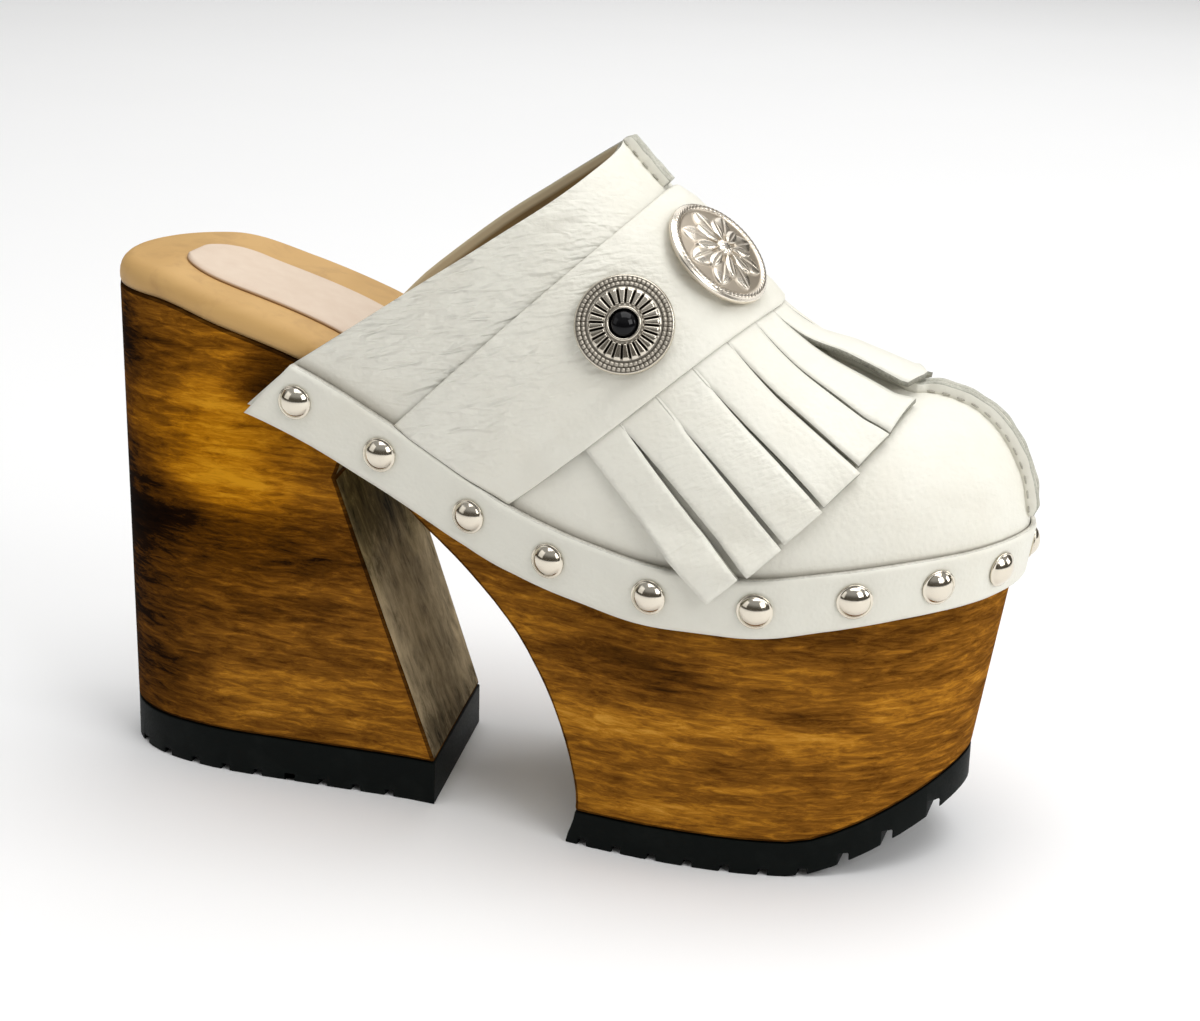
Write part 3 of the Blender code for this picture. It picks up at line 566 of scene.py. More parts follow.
def upper(along, across):
    """Outer face of the upper.

    along runs from the collar (0) to the toe (1); across from the outer rim (0), over the ridge (0.5), to
    the inner rim (1). Past the rim it goes on down, over the band.
    """
    along, across = np.broadcast_arrays(np.asarray(along, float), np.asarray(across, float))
    outer_run, inner_run = LATERAL.length * (1 - along), MEDIAL.length * (1 - along)
    lateral = LATERAL.wall(outer_run, 0.0, GAP + WALL * snug(outer_run))
    medial = MEDIAL.wall(inner_run, 0.0, GAP + WALL * snug(inner_run))
    rim = np.where((across < 0.5)[..., None], lateral, medial)
    ridge = between(along, RIDGE_SHARE, RIDGE)
    dip = SEAM_DIP * fade(along, DIP_START, DIP_FULL) * fade(along, DIP_END, DIP_FADE)
    ridge = np.stack([ridge[..., 0], np.full(along.shape, RIDGE_MID), ridge[..., 1] - dip], -1)
    turn = math.pi * np.where(across < 0.5, across, 1 - across)
    over = np.clip(turn, 0, None)
    full = np.where(across < 0.5, FULL_LATERAL, FULL_MEDIAL)
    full = full + (FULL_TOE - full) * np.clip((along - FULL_START) / FULL_SPAN, 0, 1)
    swell = (np.abs(np.cos(over)) ** full + np.abs(np.sin(over)) ** full) ** (-1 / full)
    inward = 1 - swell * np.cos(over)
    upward = swell * np.sin(over) + np.clip(turn, None, 0)
    toe = fade(along, TOE_START, TOE_FULL)
    forward = (1 - toe) * upward + toe * inward
    belly = np.where(across < 0.5, -BELLY_LATERAL, BELLY_MEDIAL)
    belly = belly * np.clip(1 - along / BELLY_END, 0, 1) * np.sin(2 * over)
    face = rim + (ridge - rim) * np.stack([forward, inward, upward], -1)
    return face + np.stack([0 * belly, belly, 0 * belly], -1)


def upper_slopes(along, across):
    """Directions of the upper's face, toward the toe and across it, and its outward normal."""
    low = np.clip(np.asarray(along) - SLOPE_STEP, 0, SLOPE_END - 2 * SLOPE_STEP)
    high = np.clip(np.asarray(along) + SLOPE_STEP, 2 * SLOPE_STEP, SLOPE_END)
    across = np.asarray(across)
    toward = (upper(high, across) - upper(low, across)) / (high - low)[..., None]
    middle = np.clip(along, 0, SLOPE_END)
    over = upper(middle, across + ACROSS_STEP) - upper(middle, across - ACROSS_STEP)
    over = over / (2 * ACROSS_STEP)
    return toward, over, unit(np.cross(toward, over))


def on_upper(along, across, off):
    return upper(along, across) + upper_slopes(along, across)[2] * np.asarray(off)[..., None]


def strap_rear(across):
    """Rear edge of the strap, as a share of the upper's length."""
    return STRAP_REAR_TOP + (STRAP_REAR_LOW - STRAP_REAR_TOP) * np.abs(1 - 2 * np.asarray(across))


def strap_front(across):
    """Front edge of the strap, as a share of the upper's length."""
    rise = 1 - np.abs(1 - 2 * np.asarray(across)) ** 1.5
    return STRAP_FRONT_LOW + (STRAP_FRONT_TOP - STRAP_FRONT_LOW) * rise


def strap_places(across, share):
    """Places on the upper under the strap: share runs from its rear edge (0) to its front edge (1)."""
    rear, front = strap_rear(across)[:, None], strap_front(across)[:, None]
    along = rear + (front - rear) * share[None, :]
    return along, np.repeat(across[:, None], len(share), 1)


def strap_grid(across, share, extra):
    """Points of the strap: its front part rides over the fringe's root."""
    along, sides = strap_places(across, share)
    over_fringe = fade(np.abs(across - 0.5), 0.47, 0.42)
    rise = fade(share, 0.76, 0.89)[None, :] * over_fringe[:, None]
    return on_upper(along, sides, GAP + rise * (STRIP_ROOT_THICK + GAP) + extra)


# Leather folds

def ripple(u, v, seed):
    """Smooth seeded noise from 0 to 1 over a plane, one cell a unit."""
    table = np.random.default_rng(seed).random((61, 67))
    i, j = np.floor(u).astype(int), np.floor(v).astype(int)
    f, g = ease(u - i), ease(v - j)
    low = table[i % 61, j % 67] * (1 - f) + table[(i + 1) % 61, j % 67] * f
    high = table[i % 61, (j + 1) % 67] * (1 - f) + table[(i + 1) % 61, (j + 1) % 67] * f
    return low * (1 - g) + high * g


def creasing(points, creases):
    """Depth of the listed folds at each point: a soft trough with a low ridge on both sides."""
    depth = np.zeros(points.shape[:-1])
    for number, fold in enumerate(creases):
        t = np.linspace(0, 1, 13)
        sway = 0.006 * np.sin(7.0 * t + number) * np.sin(math.pi * t)
        along = fold.along + (fold.to_along - fold.along) * t + sway
        across = fold.across + (fold.to_across - fold.across) * t
        line = upper(along, across)
        best = np.full(points.shape[:-1], 1e9)
        where = np.zeros(points.shape[:-1])
        for k in range(len(t) - 1):
            step = line[k + 1] - line[k]
            part = np.clip(((points - line[k]) @ step) / (step @ step), 0, 1)
            away = np.linalg.norm(points - line[k] - part[..., None] * step, axis=-1)
            nearer = away < best
            best = np.where(nearer, away, best)
            where = np.where(nearer, (k + part) / (len(t) - 1), where)
        taper = np.sin(math.pi * np.clip(where, 0.02, 0.98)) ** 0.7
        x = best / fold.wide
        depth += fold.deep * taper * (0.55 * np.exp(-((x - 1.7) ** 2)) - np.exp(-x * x))
    return depth


def crinkle(along, across, amount, seed):
    """Fine slanting ripples of loose grain, in millimetres."""
    u, v = along * CRINKLE_RUN, across * HIDE_GIRTH
    long = (u * 0.35 + v * 0.94) / 7.5
    short = (u * 0.94 - v * 0.35) / 2.6
    bend = 1.6 * ripple(long * 1.3 + 40, short * 0.4 + 9, seed + 1)
    fine = ripple(long, short + bend, seed) - 0.5
    finer = ripple(long * 2.1 + 17, short * 1.9 + bend + 5, seed + 2) - 0.5
    return amount * (fine + 0.45 * finer)


# Mesh making

def row_frame(points):
    """Carries the shoe's millimetres to the frame's metres."""
    return (np.asarray(points) + HOME) * MM


def shoe_home():
    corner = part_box("sole_wood")[0]
    loop = rim_loop(4)
    return np.array([corner.x / MM - loop[:, 0].min(), corner.y / MM - loop[:, 1].min(), 0.0])


def grid_faces(rows, columns, base=0, wrap=False):
    """Four-cornered faces over a grid of points, closed round its columns if it wraps."""
    i = np.arange(rows - 1)[:, None]
    j = np.arange(columns if wrap else columns - 1)[None, :]
    after = (j + 1) % columns
    a = base + i * columns
    return np.stack([a + j, a + columns + j, a + columns + after, a + after], -1).reshape(-1, 4)


def turned(radius, height, turns):
    """Rings of points of a shape turned about its own Z."""
    angle = np.linspace(0, 2 * math.pi, turns, endpoint=False)
    radius, height = radius[:, None], height[:, None]
    return np.stack([radius * np.cos(angle), radius * np.sin(angle), height + 0 * angle], -1).reshape(-1, 3)


def hide_flat(a, c, start=0.0):
    """Place on the hide laid flat, in millimetres, alike on both sides of the ridge."""
    return np.stack([a * HIDE_LONG + start, np.minimum(c, 1 - c) * HIDE_GIRTH], -1)


def fold_shade_tag(*depths):
    """How strong the painted shade in folds lies: full where they are half a millimetre deep."""
    return sum(np.clip(-depth / 0.5, 0, 1) for depth in depths)


def stand(name, data):
    """New object in the scene, at the origin."""
    made = bpy.data.objects.new(name, data)
    bpy.context.scene.collection.objects.link(made)
    return made


def close_up(mesh, merge=1e-6):
    """Merges doubled points, turns the faces outward and shades them smooth."""
    work = bmesh.new()
    work.from_mesh(mesh)
    bmesh.ops.remove_doubles(work, verts=work.verts, dist=merge)
    bmesh.ops.recalc_face_normals(work, faces=work.faces)
    work.to_mesh(mesh)
    work.free()
    mesh.shade_smooth()


def small_shape(name, points, faces, merge=1e-6):
    """Small shape about its own origin, to be repeated, from points in millimetres."""
    mesh = bpy.data.meshes.new(name)
    mesh.from_pydata((points * MM).tolist(), [], [list(face) for face in faces])
    close_up(mesh, merge)
    return stand(name, mesh)


def piece(name, points, faces, looks, face_looks=None, tags=None, flat=None):
    """Mesh object at the origin with its place in its mesh.

    tags are named values kept on its points, and flat is each point's place on the hide laid flat.
    """
    mesh = bpy.data.meshes.new(name)
    mesh.from_pydata(row_frame(points).tolist(), [], [tuple(f) for f in faces])
    for look in looks:
        mesh.materials.append(look)
    if face_looks is not None:
        mesh.polygons.foreach_set("material_index", np.asarray(face_looks, np.int32))
    for tag, values in (tags or {}).items():
        layer = mesh.attributes.new(tag, "FLOAT", "POINT")
        layer.data.foreach_set("value", np.asarray(values, np.float32).ravel())
    if flat is not None:
        corners = np.empty(len(mesh.loops), np.int32)
        mesh.loops.foreach_get("vertex_index", corners)
        layer = mesh.uv_layers.new(name="hide")
        layer.data.foreach_set("uv", np.asarray(flat, np.float32).reshape(-1, 2)[corners].ravel())
    close_up(mesh)
    return stand(name, mesh)


def finish_edges(made, wide, edge_look=-1):
    """Rounds the sharp edges of a solid's copy."""
    step = made.modifiers.new("edges", "BEVEL")
    step.width = wide * MM
    step.segments = 3
    step.limit_method = "ANGLE"
    step.angle_limit = math.radians(35)
    step.use_clamp_overlap = False
    step.material = edge_look
    step.harden_normals = False
    apply_modifiers(made)
    made.data.shade_smooth()
    made.data.set_sharp_from_angle(angle=math.radians(50))


def apply_modifiers(made):
    graph = bpy.context.evaluated_depsgraph_get()
    mesh = bpy.data.meshes.new_from_object(made.evaluated_get(graph))
    made.modifiers.clear()
    old = made.data
    made.data = mesh
    mesh.name = made.name
    bpy.data.meshes.remove(old)


def dress(made, slot, *nodes):
    """Rides the piece on the shoe and hides the solids that it stands for."""
    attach(made, BODY)
    if nodes:
        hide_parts(*nodes)


def sheet_piece(name, outer, inner, looks, tags=None, flat=None):
    """Closed sheet between two grids: face, back and cut edge have their own looks."""
    rows, columns = outer.shape[:2]
    back = rows * columns
    face = grid_faces(rows, columns)
    behind = grid_faces(rows, columns, back)[:, ::-1]
    i, j = np.arange(rows - 1), np.arange(columns - 1)
    edges = []
    for column in (0, columns - 1):
        a = i * columns + column
        edges.append(np.stack([a, a + columns, back + a + columns, back + a], -1))
    for row in (0, rows - 1):
        a = row * columns + j
        edges.append(np.stack([a, a + 1, back + a + 1, back + a], -1))
    edges = np.concatenate(edges)
    faces = np.concatenate([face, behind, edges])
    marks = np.concatenate([np.zeros(len(face)), np.ones(len(behind)), np.full(len(edges), 2)])
    points = np.concatenate([outer.reshape(-1, 3), inner.reshape(-1, 3)])
    if tags:
        tags = {tag: np.concatenate([np.ravel(v), np.ravel(v)]) for tag, v in tags.items()}
    if flat is not None:
        flat = np.concatenate([flat.reshape(-1, 2), flat.reshape(-1, 2)])
    return piece(name, points, faces, looks, marks, tags, flat)


# Materials

def add(tree, kind, inputs=None, **settings):
    """New node with its settings, and its named sockets given a value or a link."""
    node = tree.nodes.new(kind)
    for key, value in settings.items():
        setattr(node, key, value)
    for key, value in (inputs or {}).items():
        if isinstance(value, bpy.types.NodeSocket):
            tree.links.new(value, node.inputs[key])
        else:
            node.inputs[key].default_value = value
    return node


def sums(tree, how, a, b=0.0, clamp=False):
    return add(tree, "ShaderNodeMath", {0: a, 1: b}, operation=how, use_clamp=clamp).outputs[0]


def weighed(tree, *pairs, plus=0.0):
    """Sum of values, each times its weight, and of a plain number."""
    total = None
    for value, weight in pairs:
        part = sums(tree, "MULTIPLY", value, weight)
        total = part if total is None else sums(tree, "ADD", total, part)
    return sums(tree, "ADD", total, plus) if plus else total


def vectors(tree, how, a, b=(0.0, 0.0, 0.0)):
    return add(tree, "ShaderNodeVectorMath", {0: a, 1: b}, operation=how).outputs


def blend(tree, factor, a, b, how="MIX"):
    """Mix of two colours, each a link or a plain red, green and blue."""
    a, b = ((*colour, 1.0) if isinstance(colour, tuple) else colour for colour in (a, b))
    node = add(tree, "ShaderNodeMix", {0: factor, 6: a, 7: b}, data_type="RGBA", blend_type=how)
    return node.outputs[2]


def ramp(tree, value, stops):
    """Colours or greys along a value: stops are pairs of a place and a colour."""
    node = add(tree, "ShaderNodeValToRGB", {"Fac": value})
    line = node.color_ramp.elements
    while len(line) < len(stops):
        line.new(0.5)
    for mark, (place, colour) in zip(line, stops):
        mark.position = place
        mark.color = (*colour, 1.0) if isinstance(colour, tuple) else (colour, colour, colour, 1.0)
    return node.outputs["Color"]


def noise(tree, where, scale, detail=4.0, rough=0.55, warp=0.0):
    inputs = {"Vector": where, "Scale": scale, "Detail": detail, "Roughness": rough, "Distortion": warp}
    return add(tree, "ShaderNodeTexNoise", inputs).outputs["Fac"]


def stretched(tree, where, scale, turn=(0.0, 0.0, 0.0)):
    inputs = {"Vector": where, "Scale": scale, "Rotation": turn}
    return add(tree, "ShaderNodeMapping", inputs).outputs["Vector"]


def object_place(tree):
    return add(tree, "ShaderNodeTexCoord").outputs["Object"]


def tag_value(tree, tag):
    return add(tree, "ShaderNodeAttribute", attribute_name=tag).outputs["Fac"]


def new_group(name, sizes, outputs):
    """Shader group that takes a place and named sizes, and its two end nodes."""
    group = bpy.data.node_groups.new(name, "ShaderNodeTree")
    group.interface.new_socket("Where", in_out="INPUT", socket_type="NodeSocketVector")
    for label, value in sizes.items():
        socket = group.interface.new_socket(label, in_out="INPUT", socket_type="NodeSocketFloat")
        socket.default_value = value
    for label in outputs:
        group.interface.new_socket(label, in_out="OUTPUT", socket_type="NodeSocketFloat")
    return group, group.nodes.new("NodeGroupInput").outputs, group.nodes.new("NodeGroupOutput").inputs


def use_group(tree, group, where, **sizes):
    return add(tree, "ShaderNodeGroup", {"Where": where, **sizes}, node_tree=group).outputs


def make_grain_group():
    """Pebbled hide grain: small cells with soft valleys, and a fine tooth over them."""
    group, given, result = new_group("hide_grain", {"Cells": 900.0}, ("Height", "Tone"))
    inputs = {"Vector": given["Where"], "Scale": given["Cells"]}
    cells = add(group, "ShaderNodeTexVoronoi", inputs, feature="SMOOTH_F1").outputs["Distance"]
    fine = noise(group, given["Where"], 2600.0, detail=3.0, rough=0.6)
    soft = noise(group, given["Where"], 240.0, detail=3.0, rough=0.5)
    group.links.new(weighed(group, (cells, -0.55), (fine, 0.25), (soft, 0.5)), result["Height"])
    group.links.new(soft, result["Tone"])
    return group


def make_loose_group():
    """Loose hide: short slanting wrinkles, laid out on the hide's own flat map in millimetres."""
    group, given, result = new_group("loose_hide", {}, ("Height",))
    slant = stretched(group, given["Where"], (1.0, 1.0, 1.0), turn=(0.0, 0.0, -0.74))
    fold = noise(group, stretched(group, slant, (0.20, 0.50, 1.0)), 1.0, detail=1.5, rough=0.5, warp=0.6)
    small = noise(group, stretched(group, slant, (0.45, 0.95, 1.0)), 1.0, detail=1.5, rough=0.5, warp=0.3)
    patchy = noise(group, stretched(group, given["Where"], (0.05, 0.05, 1.0)), 1.0, detail=2.0)
    height = weighed(group, (fold, 1.0), (small, 0.30))
    strong = weighed(group, (patchy, 1.6), plus=0.2)
    group.links.new(sums(group, "MULTIPLY", height, strong), result["Height"])
    return group


def make_smudge_group():
    """Soft patches of handling and age."""
    group, given, result = new_group("smudges", {"Size": 45.0, "Share": 0.5}, ("Mask",))
    wide = noise(group, given["Where"], given["Size"], detail=5.0, rough=0.6, warp=0.4)
    lifted = sums(group, "ADD", wide, sums(group, "SUBTRACT", given["Share"], 1.0))
    group.links.new(sums(group, "MULTIPLY", lifted, 4.0, clamp=True), result["Mask"])
    return group


def make_figure_group():
    """Wood figure: flecks and streaks that run along the shoe, with long dark veins."""
    group, given, result = new_group("wood_figure", {"Warp": 0.8}, ("Fleck", "Streak", "Vein"))

    def along_shoe(scale, detail, rough, warp):
        return noise(group, stretched(group, given["Where"], scale), 1.0, detail, rough, warp)

    fleck = along_shoe((118, 118, 660), detail=7.0, rough=0.74, warp=given["Warp"])
    streak = along_shoe((20, 20, 150), detail=4.0, rough=0.55, warp=0.3)
    vein = along_shoe((11, 11, 190), detail=3.0, rough=0.5, warp=1.0)
    group.links.new(fleck, result["Fleck"])
    group.links.new(streak, result["Streak"])
    group.links.new(ramp(group, vein, ((0.30, 1.0), (0.42, 0.0))), result["Vein"])
    return group


def new_look(name, roughness=0.5, metallic=0.0, **sockets):
    """Material with its Principled shader's plain values set."""
    look = bpy.data.materials.new(name)
    look.use_nodes = True
    shader = look.node_tree.nodes["Principled BSDF"]
    shader.inputs["Roughness"].default_value = roughness
    shader.inputs["Metallic"].default_value = metallic
    for key, value in sockets.items():
        shader.inputs[key.replace("_", " ").title().replace("Ior", "IOR")].default_value = value
    return look, look.node_tree, shader


def feed(tree, shader, colour, roughness=None):
    """Links a colour, and a roughness that changes over the surface, to the shader."""
    tree.links.new(colour, shader.inputs["Base Color"])
    if roughness is not None:
        tree.links.new(roughness, shader.inputs["Roughness"])


def bump(tree, shader, height, strength, reach):
    node = add(tree, "ShaderNodeBump", {"Height": height, "Strength": strength, "Distance": reach * MM})
    tree.links.new(node.outputs["Normal"], shader.inputs["Normal"])


def white_leather_look(name, tint, cells=850.0, grain_high=0.245):
    """Off-white hide: grain, faint mottling, and painted shade, with some dirt at the band's edge, greying
    the places that the crease tag marks.
    """
    look, tree, shader = new_look(name, coat_weight=0.06, coat_roughness=0.35)
    place = object_place(tree)
    grain = use_group(tree, GRAIN, place, Cells=cells)
    hide = add(tree, "ShaderNodeUVMap", uv_map="hide").outputs["UV"]
    wrinkle = sums(tree, "MULTIPLY", use_group(tree, LOOSE, hide)["Height"], tag_value(tree, "loose"))
    smudge = use_group(tree, SMUDGE, place, Size=38.0, Share=0.55)["Mask"]
    clean = blend(tree, grain["Tone"], tuple(c * 0.95 for c in tint), tint)
    aged = blend(tree, sums(tree, "MULTIPLY", smudge, 0.24), clean, HIDE_AGED)
    # Painted shade, greying the hide where the crease tag says so
    fold = sums(tree, "MULTIPLY", tag_value(tree, "crease"), 0.18, clamp=True)
    feed(tree, shader, blend(tree, fold, aged, HIDE_FOLD_SHADE), weighed(tree, (grain["Tone"], 0.18), plus=0.36))
    bump(tree, shader, weighed(tree, (wrinkle, 0.85), (grain["Height"], grain_high)), strength=1.0, reach=1.0)
    return look


def raw_edge_look(name, dark, light):
    """Cut edge of hide, or thread: grey fibres."""
    look, tree, shader = new_look(name, roughness=0.9)
    place = object_place(tree)
    fibre = noise(tree, place, 1500.0, detail=4.0, rough=0.7)
    patch = noise(tree, place, 160.0, detail=3.0, rough=0.5)
    both = weighed(tree, (fibre, 0.6), (patch, 0.4))
    feed(tree, shader, ramp(tree, both, ((0.36, dark), (0.64, light))))
    bump(tree, shader, fibre, strength=0.6, reach=0.25)
    return look


def lining_look():
    """Tan lining, worn dark in places, with the turned hem at the collar."""
    look, tree, shader = new_look("tan_lining", roughness=0.7)
    place = object_place(tree)
    grain = use_group(tree, GRAIN, place, Cells=1100.0)
    smudge = use_group(tree, SMUDGE, place, Size=60.0, Share=0.5)["Mask"]
    base = blend(tree, grain["Tone"], *LINING_TINTS)
    worn = blend(tree, sums(tree, "MULTIPLY", smudge, 0.4), base, LINING_WORN)
    feed(tree, shader, blend(tree, tag_value(tree, "hem"), worn, LINING_HEM))
    bump(tree, shader, grain["Height"], strength=0.3, reach=0.2)
    return look


def patch_value(tree, place, patches):
    """How strong the listed patches lie on the wood, with their outlines broken up by noise."""
    inputs = {"Vector": stretched(tree, place, (26, 60, 70)), "Scale": 1.0, "Detail": 4.0}
    swirl = add(tree, "ShaderNodeTexNoise", inputs).outputs["Color"]
    centred = vectors(tree, "SUBTRACT", swirl, (0.5, 0.5, 0.5))[0]
    drift = vectors(tree, "MULTIPLY", centred, (0.035, 0.0, 0.010))[0]
    moved = vectors(tree, "ADD", place, drift)[0]
    total = None
    for patch in patches:
        centre = ((patch.station + HOME[0]) * MM, 0.0, patch.height * MM)
        reach = (1 / (patch.long * MM), 0.0, 1 / (patch.high * MM))
        sized = vectors(tree, "MULTIPLY", vectors(tree, "SUBTRACT", moved, centre)[0], reach)[0]
        away = vectors(tree, "LENGTH", sized)["Value"]
        inputs = {0: away, 1: 0.15, 2: 1.25, 3: patch.strength, 4: 0.0}
        mask = add(tree, "ShaderNodeMapRange", inputs, interpolation_type="SMOOTHSTEP").outputs[0]
        total = mask if total is None else sums(tree, "ADD", total, mask)
    return total


def wood_look(name, colours, patches, roughness, run=(1.0, 1.0, 1.0)):
    """Stained and lacquered wood: flecks, streaks and pooled stain, in five colours from dark to pale."""
    lacquer = {"coat_weight": 0.02, "coat_roughness": 0.12, "specular_ior_level": 0.0}
    look, tree, shader = new_look(name, roughness, **lacquer)
    place = object_place(tree)
    figure = use_group(tree, FIGURE, stretched(tree, place, run), Warp=0.5)
    pooled = noise(tree, stretched(tree, place, (24, 24, 40)), 1.0, detail=4.0, rough=0.6, warp=0.5)
    stain = patch_value(tree, place, patches)
    tone = weighed(tree, (figure["Fleck"], 1.25), (figure["Streak"], 0.60), (pooled, 0.25),
                   (figure["Vein"], -0.09), (stain, -1.0), plus=DARK_ROOM - 0.57)
    tone = sums(tree, "DIVIDE", tone, 1 + DARK_ROOM)
    stops = [(0.0, tuple(c * 0.3 for c in colours[0]))]
    for mark, colour in zip(TONES, colours):
        stops.append(((mark + DARK_ROOM) / (1 + DARK_ROOM), colour))
    amber = patch_value(tree, place, AMBER)
    warm = blend(tree, amber, ramp(tree, tone, stops), AMBER_TINT, "MULTIPLY")
    feed(tree, shader, warm, weighed(tree, (figure["Fleck"], 0.2), plus=roughness - 0.1))
    bump(tree, shader, figure["Fleck"], strength=0.15, reach=0.15)
    return look


def pale_board_look():
    """Sanded footbed board with faint flecks and smudged edges."""
    look, tree, shader = new_look("footbed_board", roughness=0.55, specular_ior_level=0.25)
    place = object_place(tree)
    figure = use_group(tree, FIGURE, place, Warp=0.4)
    smudge = use_group(tree, SMUDGE, place, Size=105.0, Share=0.50)["Mask"]
    base = blend(tree, figure["Streak"], *BOARD_TINTS)
    worn = blend(tree, sums(tree, "MULTIPLY", smudge, 0.45), base, BOARD_WORN)
    low = sums(tree, "MULTIPLY", tag_value(tree, "stain"), 0.85)
    feed(tree, shader, blend(tree, low, worn, BOARD_JOINT))
    bump(tree, shader, figure["Fleck"], strength=0.10, reach=0.12)
    return look


def label_look():
    """Pale leather of the heel pad, darker at its cut rim."""
    look, tree, shader = new_look("label_leather", roughness=0.55)
    grain = use_group(tree, GRAIN, object_place(tree), Cells=1200.0)
    base = blend(tree, grain["Tone"], *LABEL_TINTS)
    feed(tree, shader, blend(tree, tag_value(tree, "crease"), base, LABEL_RIM))
    bump(tree, shader, grain["Height"], strength=0.2, reach=0.15)
    return look


def rubber_look():
    """Matt black rubber with a fine tooth."""
    look, tree, shader = new_look("black_rubber", roughness=0.6, specular_ior_level=0.08)
    place = object_place(tree)
    smudge = use_group(tree, SMUDGE, place, Size=90.0, Share=0.5)["Mask"]
    fine = noise(tree, place, 1800.0, detail=3.0, rough=0.6)
    feed(tree, shader, blend(tree, smudge, *RUBBER_TINTS), weighed(tree, (fine, 0.3), plus=0.40))
    bump(tree, shader, fine, strength=0.25, reach=0.12)
    return look


def metal_look(name, tints, polish, tarnish):
    """Plated metal: the recess tag holds the dark of antiquing."""
    look, tree, shader = new_look(name, metallic=1.0)
    place = object_place(tree)
    bright, dark = tints
    smudge = use_group(tree, SMUDGE, place, Size=260.0, Share=0.45)["Mask"]
    deep = sums(tree, "MULTIPLY", tag_value(tree, "recess"), tarnish, clamp=True)
    dull = blend(tree, sums(tree, "MULTIPLY", smudge, 0.25), bright, tuple(c * 0.72 for c in bright))
    rough = weighed(tree, (smudge, 0.10), (deep, 0.35), plus=polish)
    feed(tree, shader, blend(tree, deep, dull, dark), rough)
    bump(tree, shader, noise(tree, place, 900.0, detail=3.0, rough=0.6), strength=0.05, reach=0.05)
    return look


def veiled_look(name, tints, veil_scale, veil_rough, **sockets):
    """One tone with a faint veil over it."""
    look, tree, shader = new_look(name, **sockets)
    veil = noise(tree, object_place(tree), veil_scale, detail=3.0, rough=veil_rough)
    feed(tree, shader, blend(tree, veil, *tints))
    return look


# Pieces

def build_upper():
    """Leather shell of the upper and its tan lining, open at the collar and underneath."""
    along = np.concatenate([np.linspace(0, 0.92, 175), np.linspace(0.92, 1, 22)[1:]])
    across = np.linspace(0, 1, 165)
    a, c = np.meshgrid(along, across, indexing="ij")
    lean = smooth(COLLAR_EDGE, c) * np.clip(1 - a / COLLAR_REACH, 0, 1)
    a = a + np.clip(-lean, 0, None) / TRIM_RUN
    face, normal = upper(a, c), upper_slopes(a, c)[2]
    face = face + np.clip(lean, 0, None)[..., None] * np.array(COLLAR_LEAN)
    low = np.minimum(c, 1 - c)
    free = fade(low, 0.0, 0.05) * fade(a, 0.30, 0.20)
    loose = 0.10 + free * (0.25 * fade(low, 0.46, 0.34) + 1.7 * fade(low, 0.38, 0.16))
    fine = crinkle(a, c, 0.06, 4) * free + crinkle(a, c, 0.03, 11)
    folds = creasing(face, UPPER_CREASES)
    shape = folds + fine * fade(a, 0.985, 0.955)
    skin = LINING + GAP * 0.2
    rim = []
    for side in (LATERAL, MEDIAL):
        distance = side.length * (1 - along)
        lines = []
        for share in (1.0, 0.6, 0.25):
            back = distance + side.shear(distance) * share
            drop = (side.band_drop(distance) - 1.5) * share
            layers = [GAP + out * snug(distance) for out in (WALL, skin, LINING, 0.0)]
            lines.append([side.wall(back, drop, out) for out in layers])
        rim.append(lines)

    def with_rims(grid, layer):
        """Adds the rows under the rim on both sides, and draws the toe end to one point."""
        grid = grid.copy()
        grid[-1] = grid[-1, grid.shape[1] // 2]
        outer_rows = np.stack([line[layer] for line in rim[0]], 1)
        inner_rows = np.stack([line[layer] for line in rim[1][::-1]], 1)
        return np.concatenate([outer_rows, grid, inner_rows], 1)

    outer = with_rims(face + normal * shape[..., None], 0)
    under = with_rims(face - normal * (WALL - skin), 1)
    under_rim = ((0, 0), (3, 3))
    # The crease tag paints shade in the folds, and a shadow line with some dirt where the upper meets the
    # band's top edge
    band_shadow_and_dirt = BAND_SHADOW_AND_DIRT * np.exp(-(low * HIDE_GIRTH / BAND_SHADOW_REACH) ** 2)
    crease = np.pad(fold_shade_tag(folds, fine) + band_shadow_and_dirt, under_rim)
    tags = {"crease": crease, "loose": np.pad(loose, under_rim)}
    flat = np.pad(hide_flat(a, c), (*under_rim, (0, 0)), mode="edge")
    leather = sheet_piece("upper_leather", outer, under, (LEATHER, RAW_EDGE, RAW_EDGE), tags, flat)
    dress(leather, "white_leather", "upper")
    top = with_rims(face - normal * (WALL - LINING), 2)[:, ::3]
    inside = with_rims(face - normal * WALL, 3)[:, ::3]
    hem = fade(along[:, None] * HEM_RUN + 0 * c, COLLAR_HEM, COLLAR_HEM - 0.3)
    hem = np.pad(hem, under_rim, mode="edge")[:, ::3]
    lining = sheet_piece("upper_lining", top, inside, (TAN_LINING, TAN_LINING, RAW_EDGE), {"hem": hem})
    dress(lining, "white_leather")


